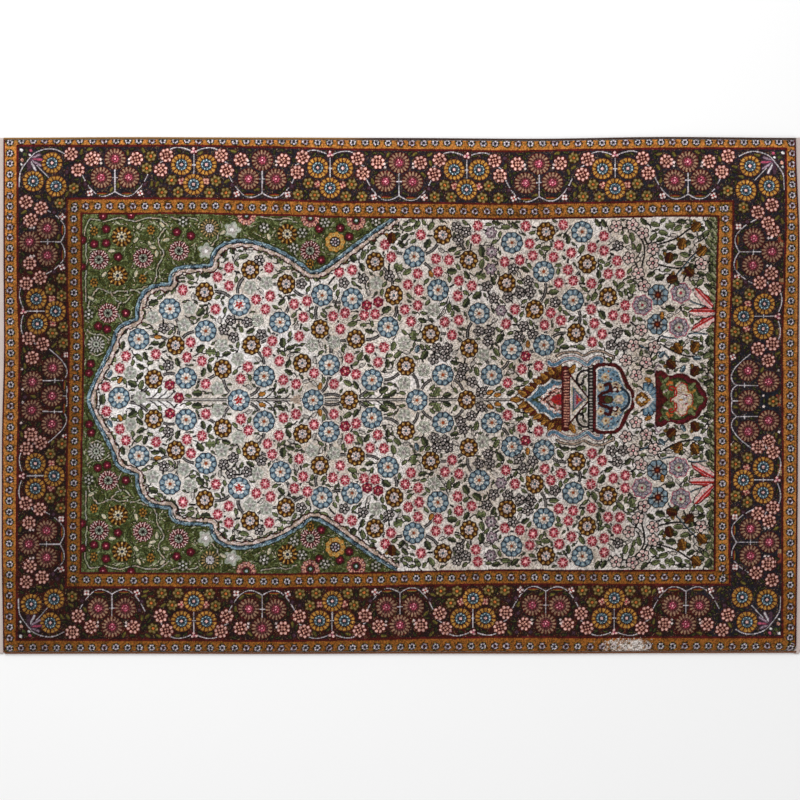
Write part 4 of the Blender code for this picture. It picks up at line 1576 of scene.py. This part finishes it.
def knot_colours(chart):
    """The colour of every knot: its yarn's, a little lighter or darker from tuft to tuft, in slow
    bands where the dye lots changed, duller and yellower towards the niche's foot, with painted light
    and shade from the nap, and with a painted silvery highlight where the worn ivory catches the light."""
    u, v, shape = chart.u, chart.v, chart.yarn.shape
    dyes = np.array([(0.0, 0.0, 0.0), *(linear(code) for code in YARNS.values())]) ** PILE_DEPTH
    grey = (dyes @ (0.2126, 0.7152, 0.0722))[:, None]
    dark = np.clip(1 - grey / DARK_GREY, 0, 1)
    dyes = grey + (DYE_STRENGTH + (DARK_DYE_STRENGTH - DYE_STRENGTH) * dark) * (dyes - grey)
    dyes *= 1 - dark * WARMTH
    colours = dyes[chart.yarn]
    chance = np.random.default_rng(81)
    pairs = chance.random((shape[0] // 2, shape[1] // 2)).repeat(2, 0).repeat(2, 1)
    field = (v > FIELD_LIMITS["far"]) & (v < FIELD_LIMITS["near"])
    field &= (u > FIELD_LIMITS["left"]) & (u < FIELD_LIMITS["right"])
    # The pile is smooth at the niche's top, and rougher towards its foot and in the borders
    rough = np.where(field, 0.08 + 0.34 * np.clip((u - 240) / 300, 0, 1), 0.28)
    tuft = 1 + 0.40 * (chance.random(shape) - 0.5) + (0.84 + rough) * (pairs - 0.5)
    tint = 1 + 0.10 * (chance.random((*shape, 3)) - 0.5)
    lots = 1 + 0.16 * (soft_noise(shape, 14, 83) - 0.5) + 0.10 * (soft_noise(shape, 120, 84) - 0.5)
    # Painted light and shade of the nap: the far side is painted lighter, where the nap leans to the eye and
    # reflects more light, and the left guard is painted darker
    painted_nap_shading = 1 + 0.42 * np.clip((250 - v) / 90, 0, 1)
    painted_nap_shading -= 0.26 * np.clip((100 - u) / 30, 0, 1) * np.clip((u - 12) / 12, 0, 1)
    # A painted highlight on the worn ivory, lighter where it catches the light
    painted_shine = 1 + 0.10 * np.exp(-(((u - PAINTED_SHINE[0]) / 60) ** 2) - (((v - PAINTED_SHINE[1]) / 90) ** 2))
    dull = np.where(field, 0.22 * np.clip((u - 210) / 260, 0, 1), 0.0)
    age = 1 - dull[:, :, None] * (0.0, 0.22, 0.42)
    return colours * tint * age * (tuft * lots * painted_nap_shading * painted_shine * (1 - dull))[:, :, None]


def set_inputs(tree, made, links):
    """Links or sets a node's inputs by name, with a low line for each space in it."""
    for name, value in links.items():
        socket = made.inputs[name.replace("_", " ")]
        if isinstance(value, bpy.types.NodeSocket):
            tree.links.new(value, socket)
        else:
            socket.default_value = value


def node_in(tree, kind, settings=(), **links):
    """Adds a node, sets what it is given, and links or sets its inputs by name."""
    made = tree.nodes.new(kind)
    for name, value in dict(settings).items():
        setattr(made, name, value)
    set_inputs(tree, made, links)
    return made


def new_material(name):
    """An empty node material with its shader and output."""
    made = bpy.data.materials.new(name)
    made.use_nodes = True
    return made, made.node_tree, made.node_tree.nodes["Principled BSDF"]


WEFT_PITCH = 0.0024


def wool_pile_material():
    """Hand-knotted sheep's wool pile, clipped short: dry and matte with a faint nap sheen. Each
    knot's dye is an attribute. The fibres' ends show as a fine bump close up."""
    made, tree, shader = new_material("clipped_wool_pile")
    dye = node_in(tree, "ShaderNodeVertexColor", {"layer_name": "Dye"}).outputs["Color"]
    place = node_in(tree, "ShaderNodeTexCoord").outputs["Object"]
    lustre = node_in(tree, "ShaderNodeTexNoise", Vector=place, Scale=9.0, Detail=3.0).outputs["Fac"]
    fuzz = node_in(tree, "ShaderNodeTexNoise", Vector=place, Scale=420.0, Detail=2.0).outputs["Fac"]
    lift = node_in(tree, "ShaderNodeMapRange", Value=lustre, To_Min=0.93, To_Max=1.07).outputs["Result"]
    coat = node_in(tree, "ShaderNodeHueSaturation", Color=dye, Value=lift, Saturation=1.0)
    rough = node_in(tree, "ShaderNodeMapRange", Value=fuzz, To_Min=0.82, To_Max=0.98)
    bump = node_in(tree, "ShaderNodeBump", Height=fuzz, Strength=0.35, Distance=0.0008)
    set_inputs(tree, shader, {
        "Base Color": coat.outputs["Color"],
        "Roughness": rough.outputs["Result"],
        "Normal": bump.outputs["Normal"],
        "Specular IOR Level": 0.12,
        "Sheen Weight": 0.05,
        "Sheen Roughness": 0.5,
    })
    return made


def woven_back_material():
    """The flat back of hand knotting: the pattern shows again in the knots' loops, paler and
    duller, with a fine rib across where the cotton wefts pass, one about every 2.4 mm."""
    made, tree, shader = new_material("knotted_back")
    dye = node_in(tree, "ShaderNodeVertexColor", {"layer_name": "Dye"}).outputs["Color"]
    place = node_in(tree, "ShaderNodeTexCoord").outputs["Object"]
    ribs = node_in(
        tree,
        "ShaderNodeTexWave",
        {"wave_type": "BANDS", "bands_direction": "X"},
        Vector=place,
        Scale=2 * math.pi / (20 * WEFT_PITCH) / 2,
        Distortion=1.2,
        Detail=2.0,
    ).outputs["Fac"]
    weft = node_in(tree, "ShaderNodeMapRange", Value=ribs, To_Min=0.72, To_Max=1.05).outputs["Result"]
    cotton = node_in(
        tree,
        "ShaderNodeMixRGB",
        {"blend_type": "MIX"},
        Fac=0.22,
        Color1=dye,
        Color2=(*linear("B9A88F"), 1),
    ).outputs["Color"]
    shade = node_in(tree, "ShaderNodeHueSaturation", Color=cotton, Value=weft)
    bump = node_in(tree, "ShaderNodeBump", Height=ribs, Strength=0.5, Distance=0.0008)
    set_inputs(tree, shader, {
        "Base Color": shade.outputs["Color"],
        "Normal": bump.outputs["Normal"],
        "Roughness": 0.92,
    })
    return made


def yarn_material(name, dark, light, scale, roughness, left=None):
    """Spun yarn: two close tones mixed along its fibres, rough, with a fine fibrous bump. It is in
    another dye lot towards the left end, if one is given."""
    made, tree, shader = new_material(name)
    place = node_in(tree, "ShaderNodeTexCoord").outputs["Object"]
    fibre = node_in(tree, "ShaderNodeTexNoise", Vector=place, Scale=scale, Detail=4.0).outputs["Fac"]
    soil = node_in(tree, "ShaderNodeTexNoise", Vector=place, Scale=14.0, Detail=2.0).outputs["Fac"]
    lots = []
    for first, second in ((dark, light), left) if left else ((dark, light),):
        tones = {"Color1": (*linear(first), 1), "Color2": (*linear(second), 1)}
        lots.append(node_in(tree, "ShaderNodeMixRGB", Fac=fibre, **tones).outputs["Color"])
    if left:
        along = node_in(tree, "ShaderNodeSeparateXYZ", Vector=place).outputs["X"]
        share = node_in(tree, "ShaderNodeMapRange", Value=along, From_Min=-0.14, From_Max=-0.06)
        tones = {"Color1": lots[1], "Color2": lots[0]}
        mixed = node_in(tree, "ShaderNodeMixRGB", Fac=share.outputs["Result"], **tones).outputs["Color"]
    else:
        mixed = lots[0]
    grey = node_in(tree, "ShaderNodeMapRange", Value=soil, To_Min=0.85, To_Max=1.08).outputs["Result"]
    worn = node_in(tree, "ShaderNodeHueSaturation", Color=mixed, Value=grey)
    bump = node_in(tree, "ShaderNodeBump", Height=fibre, Strength=0.5, Distance=0.0004)
    set_inputs(tree, shader, {
        "Base Color": worn.outputs["Color"],
        "Normal": bump.outputs["Normal"],
        "Roughness": roughness,
        "Sheen Weight": 0.1,
    })
    return made


def deselect():
    """Leaves nothing selected, so that an operator acts on the new piece alone."""
    if bpy.context.object and bpy.context.object.mode != "OBJECT":
        bpy.ops.object.mode_set(mode="OBJECT")
    bpy.ops.object.select_all(action="DESELECT")


def pick(piece):
    """Selects one piece alone and makes it the active one."""
    deselect()
    piece.select_set(True)
    bpy.context.view_layer.objects.active = piece


def edit_whole(piece, operator, **settings):
    """Runs an edit-mode operator on the whole of a piece."""
    pick(piece)
    bpy.ops.object.mode_set(mode="EDIT")
    bpy.ops.mesh.select_all(action="SELECT")
    operator(**settings)
    bpy.ops.object.mode_set(mode="OBJECT")


def finish_piece(piece, name, material):
    """Names a finished piece, gives it its material and its slot, and lets it ride with the rug."""
    piece.name = name
    piece.data.name = name
    piece.data.materials.clear()
    piece.data.materials.append(material)
    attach(piece, "root")


def points_of(piece):
    """The points of a piece's mesh, as rows of x, y and z."""
    points = np.empty(len(piece.data.vertices) * 3, np.float32)
    piece.data.vertices.foreach_get("co", points)
    return points.reshape(-1, 3).astype(float)


def move_points(piece, points):
    """Puts the points of a piece's mesh in new places."""
    piece.data.vertices.foreach_set("co", points.astype(np.float32).ravel())
    piece.data.update()


def corners_of(piece):
    """The points at the four corners of each face of a piece."""
    vertex = np.empty(len(piece.data.loops), np.int32)
    piece.data.loops.foreach_get("vertex_index", vertex)
    return points_of(piece)[vertex].reshape(-1, 4, 3)


def laid_grid(columns, rows, low, high, height, lean):
    """A grid added at the rug's size and laid out to its uneven outline, between two shares of its
    width, with the shares of the rug's length and width at which its points lie."""
    deselect()
    bpy.ops.mesh.primitive_grid_add(x_subdivisions=columns, y_subdivisions=rows, size=1.0)
    piece = bpy.context.object
    points = points_of(piece)
    along = np.round((points[:, 0] + 0.5) * columns) / columns
    across = low + (high - low) * np.round((points[:, 1] + 0.5) * rows) / rows
    x, y = floor_place(along, across, lean)
    move_points(piece, np.stack([x, y, height(x, y)], 1))
    return piece, along, across


def dye_corners(piece, colours):
    """Gives each corner of each face the colour of the knot that lies there."""
    corners = corners_of(piece)
    inner = (corners + corners.mean(1, keepdims=True)) / 2
    along, across = chart_shares(inner[:, :, 0].ravel(), inner[:, :, 1].ravel())
    row = np.clip(((1 - across) * KNOTS_ACROSS).astype(int), 0, KNOTS_ACROSS - 1)
    column = np.clip((along * KNOTS_ALONG).astype(int), 0, KNOTS_ALONG - 1)
    shade = np.ones((len(row), 4), np.float32)
    shade[:, :3] = colours[row, column]
    dye = piece.data.color_attributes.new("Dye", "FLOAT_COLOR", "CORNER")
    dye.data.foreach_set("color", shade.ravel())


def bake_map(piece, low, high):
    """A flat map of a long band, folded in two so that it fills a square: the left half below."""
    corners = corners_of(piece)
    along, across = chart_shares(corners[:, :, 0], corners[:, :, 1])
    across = (across - low) / (high - low)
    right = (along.mean(1) > 0.5)[:, None]
    inner = 1 - 2 * MAP_MARGIN
    u = MAP_MARGIN + inner * np.clip(along * 2 - right, 0, 1)
    v = (right + MAP_MARGIN + inner * np.clip(across, 0, 1)) / 2
    layer = piece.data.uv_layers.new(name="OFBake")
    layer.data.foreach_set("uv", np.stack([u, v], 2).astype(np.float32).ravel())


def drop_rim(piece, sides):
    """Extrudes the outer edges of a band down to the floor, where the pile and its foundation end."""
    pick(piece)
    bpy.ops.object.mode_set(mode="EDIT")
    bpy.ops.mesh.select_mode(type="EDGE")
    bpy.ops.mesh.select_all(action="DESELECT")
    bpy.ops.mesh.select_non_manifold()
    bpy.ops.object.mode_set(mode="OBJECT")
    mesh = piece.data
    points = points_of(piece)
    before = len(points)
    gaps = rim_gaps(points[:, 0], points[:, 1])
    on_rim = np.minimum.reduce([gaps[name] for name in (*ENDS, *sides)]) < RIM_REACH
    ends = np.empty(len(mesh.edges) * 2, np.int32)
    mesh.edges.foreach_get("vertices", ends)
    ends = ends.reshape(-1, 2)
    chosen = np.empty(len(mesh.edges), bool)
    mesh.edges.foreach_get("select", chosen)
    chosen &= on_rim[ends].all(1)
    kept = np.zeros(before, bool)
    kept[ends[chosen].ravel()] = True
    mesh.vertices.foreach_set("select", kept)
    mesh.edges.foreach_set("select", chosen)
    mesh.polygons.foreach_set("select", np.zeros(len(mesh.polygons), bool))
    bpy.ops.object.mode_set(mode="EDIT")
    bpy.ops.mesh.extrude_edges_move(TRANSFORM_OT_translate={"value": (0, 0, -RIM_STEP)})
    bpy.ops.object.mode_set(mode="OBJECT")
    points = points_of(piece)
    skirt = points[before:]
    gaps = rim_gaps(skirt[:, 0].copy(), skirt[:, 1].copy())
    outward = np.sign(skirt[:, :2]) * RIM_LEAN
    for axis, names in enumerate((ENDS, SIDES)):
        on_edge = np.minimum(gaps[names[0]], gaps[names[1]]) < RIM_REACH
        skirt[:, axis] += np.where(on_edge, outward[:, axis], 0)
    skirt[:, 2] = 0.0
    move_points(piece, points)


def make_pile(colours):
    """The knotted pile as five lengthwise bands that meet exactly, the far border first."""
    wool = wool_pile_material()
    chance = np.random.default_rng(91)
    lift = chance.random((BLOCKS_ACROSS + 1, BLOCKS_ALONG + 1)) * TUFT_LIFT
    row = 0
    for name, blocks in BAND_BLOCKS.items():
        high, low = 1 - row / BLOCKS_ACROSS, 1 - (row + blocks) / BLOCKS_ACROSS
        piece, along, across = laid_grid(BLOCKS_ALONG, blocks, low, high, pile_height, RIM_LEAN)
        points = points_of(piece)
        rows = np.round(across * BLOCKS_ACROSS).astype(int)
        columns = np.round(along * BLOCKS_ALONG).astype(int)
        points[:, 2] += lift[rows, columns]
        move_points(piece, points)
        drop_rim(piece, [side for side in SIDES if name.startswith(side + "_border")])
        dye_corners(piece, colours)
        bake_map(piece, low, high)
        piece.data.shade_smooth()
        finish_piece(piece, "pile_" + name, wool)
        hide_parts("knotted_rug")
        row += blocks


def on_floor(x, y):
    """The height of the woven back, which lies flat."""
    return np.zeros_like(x)


def make_back(colours):
    """The woven back, face down on the floor, on which the pattern shows again."""
    piece = laid_grid(BACK_BLOCKS_ALONG, BACK_BLOCKS_ACROSS, 0.0, 1.0, on_floor, 0.0)[0]
    edit_whole(piece, bpy.ops.mesh.flip_normals)
    dye_corners(piece, colours)
    finish_piece(piece, "woven_back", woven_back_material())
    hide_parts("knotted_rug")


# The overcast sides
CORD_RADIUS = 0.0025
CORD_GAP = 0.0004
CORD_SIDES = 7
WRAP_PITCH = 0.0032
WRAP_LEAN = 0.0012
WRAP_DIP = 0.86  # how thick a cord is between two turns of wool, as a share
WRAP_SPREAD = 0.05


def make_side(side, material):
    """A side cord: warps wrapped over and over with dark red wool, each turn a slight ridge."""
    low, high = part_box("side_cord_" + side)
    count = int((high[0] - low[0]) / WRAP_PITCH) * 2
    x = np.linspace(low[0], high[0], count + 1)
    middle = edge(side, x) + OUTWARD[side] * (CORD_GAP + CORD_RADIUS)
    middle[0], middle[-1] = middle[1], middle[-2]
    chance = np.random.default_rng(5 + SIDES.index(side))
    ridge = np.where(np.arange(count + 1) % 2, 1.0, WRAP_DIP) + WRAP_SPREAD * (chance.random(count + 1) - 0.5)
    turn = 2 * math.pi * np.arange(CORD_SIDES) / CORD_SIDES
    radius = CORD_RADIUS * ridge[:, None]
    points = np.empty((count + 1, CORD_SIDES, 3))
    points[:, :, 0] = np.clip(x[:, None] + WRAP_LEAN * np.cos(turn), low[0], high[0])
    points[:, :, 1] = middle[:, None] + radius * np.cos(turn)
    points[:, :, 2] = np.maximum(CORD_RADIUS + radius * np.sin(turn), 0.0)
    last = count * CORD_SIDES
    faces = []
    for a in range(0, last, CORD_SIDES):
        b = a + CORD_SIDES
        for part in range(CORD_SIDES):
            after = (part + 1) % CORD_SIDES
            faces.append((a + part, a + after, b + after, b + part))
    faces += [tuple(reversed(range(CORD_SIDES))), tuple(range(last, last + CORD_SIDES))]
    deselect()
    bpy.ops.mesh.primitive_cylinder_add(
        vertices=CORD_SIDES, radius=CORD_RADIUS, depth=1.0, end_fill_type="NGON"
    )
    piece = bpy.context.object
    plain = piece.data
    piece.data = bpy.data.meshes.new("overcast_" + side)
    bpy.data.meshes.remove(plain)
    piece.data.from_pydata(points.reshape(-1, 3).tolist(), [], faces)
    edit_whole(piece, bpy.ops.mesh.normals_make_consistent, inside=False)
    piece.data.shade_smooth()
    finish_piece(piece, "overcast_side_" + side, material)
    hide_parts("side_cord_" + side)


# The webs and the fringe
WEB_LENGTH = 0.012
WEB_THICKNESS = 0.0020
WEB_GAP = 0.0004
WEB_INSET = {"near": 0.0006, "far": 0.0022}  # how far inside the cords' outer lines a web ends
WEB_COLUMNS, WEB_ROWS = 12, 300
RIB_HEIGHT = 0.00018
RIB_WEAR = 0.00015
LOCKS = 100
FRINGE_LENGTH = 0.045
LENGTH_SPREAD = 0.08
SLOW_SWAY = 0.0030
SWAY_TURN = 0.35
LOCK_SWAY = 0.0008
YARNS_IN_LOCK = 5
YARN_RADIUS = 0.00065
YARN_STEP = 0.0007  # how much higher every second yarn of a lock lies
# The width of a lock at shares of its length; it is tied in a knot at the third
LOCK_WIDTHS = (
    (0, 0.0042), (0.09, 0.0026), (0.18, 0.0012), (0.27, 0.0014), (0.45, 0.0032), (0.72, 0.0040), (1, 0.0046),
)
KNOT_PLACE = 0.18
KNOT_LENGTH = 0.0016
KNOT_WIDTH, KNOT_HEIGHT = 0.0023, 0.0013
KNOT_STEPS = 16


def web_edge(end, share):
    """The point of the web's inner edge at a share of its width, and which way is out."""
    near, far = NEAR_LOW[1] + WEB_INSET["near"], FAR_HIGH[1] - WEB_INSET["far"]
    y = near + (far - near) * share
    return float(edge(end, y)) + OUTWARD[end] * WEB_GAP, y, OUTWARD[end]


def make_web(end, material):
    """The flat-woven strip beyond the pile, its weft rows showing as ribs across it."""
    deselect()
    bpy.ops.mesh.primitive_grid_add(x_subdivisions=WEB_COLUMNS, y_subdivisions=WEB_ROWS, size=1.0)
    piece = bpy.context.object
    chance = np.random.default_rng(15 + ENDS.index(end))
    for vertex in piece.data.vertices:
        x, y, out = web_edge(end, vertex.co.y + 0.5)
        share = vertex.co.x + 0.5
        rib = RIB_HEIGHT * math.cos(math.pi * round(share * WEB_COLUMNS))
        dip = RIB_WEAR * chance.random()
        vertex.co = (x + out * (share * WEB_LENGTH), y, WEB_THICKNESS - 0.0002 + rib - dip)
    solid = piece.modifiers.new("thickness", "SOLIDIFY")
    solid.thickness = WEB_THICKNESS - 0.0006
    solid.offset = -OUTWARD[end]
    pick(piece)
    bpy.ops.object.modifier_apply(modifier="thickness")
    edit_whole(piece, bpy.ops.mesh.normals_make_consistent, inside=False)
    piece.data.shade_smooth()
    finish_piece(piece, "flatwoven_web_" + end, material)
    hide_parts("fringed_end_" + end)
    width = web_edge(end, 1.0)[1] - web_edge(end, 0.0)[1]


def lock_routes(end, number, chance, loose):
    """The routes of one lock's yarns: out of the web, through the knot, and out as a loose tuft."""
    x, y, out = web_edge(end, (number + 0.5) / LOCKS)
    start = x + out * (WEB_LENGTH - 0.0008)
    length = FRINGE_LENGTH * (1 - LENGTH_SPREAD * chance.random())
    sway = SLOW_SWAY * math.sin(SWAY_TURN * number) + LOCK_SWAY * chance.uniform(-1, 1)
    for yarn in range(YARNS_IN_LOCK):
        aside = (yarn - (YARNS_IN_LOCK - 1) / 2) / (YARNS_IN_LOCK - 1)
        level = YARN_RADIUS + YARN_STEP * (yarn % 2)
        wave, spread = loose.uniform(0, 6.3), loose.uniform(0.0008, 0.0014)
        own = length * loose.uniform(0.86, 1.0)
        route = []
        for share, width in LOCK_WIDTHS:
            bend = sway * max(0.0, share - 0.2) / 0.8
            curl = spread * math.sin(wave + 5 * share) * share
            height = level + (YARN_STEP if share == KNOT_PLACE else 0.0) + 0.0004 * (1 - share)
            route.append((start + out * own * share, y + bend + aside * width + curl, height))
        yield route
    knot = start + out * length * KNOT_PLACE
    ring = []
    for step in range(KNOT_STEPS + 1):
        turn = 2 * math.pi * 2 * step / KNOT_STEPS
        along = knot + out * KNOT_LENGTH * (step / KNOT_STEPS - 0.5)
        ring.append((along, y + KNOT_WIDTH * math.cos(turn), 0.0020 + KNOT_HEIGHT * math.sin(turn)))
    yield ring


def make_fringe(end, material):
    """The fringe: every lock of warps is tied in an overhand knot and ends in a loose tuft."""
    chance, loose = random.Random(ENDS.index(end)), random.Random(25 + ENDS.index(end))
    deselect()
    bpy.ops.curve.primitive_bezier_curve_add()
    piece = bpy.context.object
    curve = piece.data
    curve.splines.clear()
    curve.dimensions = "3D"
    curve.bevel_depth = YARN_RADIUS
    curve.bevel_resolution = 0
    curve.use_fill_caps = True
    for number in range(LOCKS):
        for route in lock_routes(end, number, chance, loose):
            spline = curve.splines.new("POLY")
            spline.points.add(len(route) - 1)
            for point, place in zip(spline.points, route):
                point.co = (*place, 1.0)
                point.radius = 1.0
    pick(piece)
    bpy.ops.object.convert(target="MESH")
    piece = bpy.context.object
    piece.data.shade_smooth()
    finish_piece(piece, "knotted_fringe_" + end, material)
    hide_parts("fringed_end_" + end)


FLOOR_SIZE = 14
FLOOR_DROP = 0.0006  # keeps the floor clear of the rug's back
FLOOR_WHITE = 0.93
SKY_STRENGTH = 0.78
LAMP_WATTS = 60
CAMERA_HEIGHT = 8.0
PHOTO_SIZE = 800  # the photograph is this many units wide and high


def make_stage():
    """A plain white floor, even white light from all round, and one soft lamp high on the far side."""
    deselect()
    bpy.ops.mesh.primitive_plane_add(size=FLOOR_SIZE, location=(0, 0, -FLOOR_DROP))
    floor = bpy.context.object
    floor.name = "floor"
    white, tree, shader = new_material("white_floor")
    set_inputs(tree, shader, {"Base Color": (FLOOR_WHITE, FLOOR_WHITE, FLOOR_WHITE, 1), "Roughness": 0.9})
    floor.data.materials.append(white)
    world = bpy.data.worlds.new("studio")
    world.use_nodes = True
    sky = world.node_tree.nodes["Background"]
    set_inputs(world.node_tree, sky, {"Color": (1, 1, 1, 1), "Strength": SKY_STRENGTH})
    bpy.context.scene.world = world
    lamp = bpy.data.lights.new("softbox", "AREA")
    lamp.shape = "RECTANGLE"
    lamp.size, lamp.size_y = 3.0, 2.0
    lamp.energy = LAMP_WATTS
    holder = bpy.data.objects.new("softbox", lamp)
    holder.location = (-1.2, 2.2, 2.6)
    holder.rotation_euler = (math.radians(-40), math.radians(-18), 0)
    bpy.context.scene.collection.objects.link(holder)
    bpy.context.scene.view_settings.view_transform = "Standard"


def make_camera():
    """A long lens straight above, framed as the photograph is: it cuts the fringes off."""
    camera = bpy.data.cameras.new("camera")
    holder = bpy.data.objects.new("camera", camera)
    camera.sensor_width = 36.0
    camera.lens = camera.sensor_width * (CAMERA_HEIGHT - PILE_HEIGHT) / (PHOTO_SIZE * UNIT)
    camera.clip_end = 30
    middle = PHOTO_SIZE / 2
    holder.location = ((middle - MIDDLE_U) * UNIT, (MIDDLE_V - middle) * UNIT, CAMERA_HEIGHT)
    bpy.context.scene.collection.objects.link(holder)
    bpy.context.scene.camera = holder


make_camera()
make_stage()
COLOURS = knot_colours(weave_chart())
make_back(COLOURS)
make_pile(COLOURS)
side_wool = {
    "far": yarn_material("overcast_wool_far", "24120C", "4A2A18", 900, 0.9, ("6A4618", "9C6E2A")),
    "near": yarn_material("overcast_wool_near", "4A2210", "7E4A1E", 900, 0.9),
}
cotton = yarn_material("undyed_cotton_warp", "AE9A92", "DACDC8", 700, 0.88)
for SIDE in SIDES:
    make_side(SIDE, side_wool[SIDE])
for END in ENDS:
    make_web(END, cotton)
    make_fringe(END, cotton)
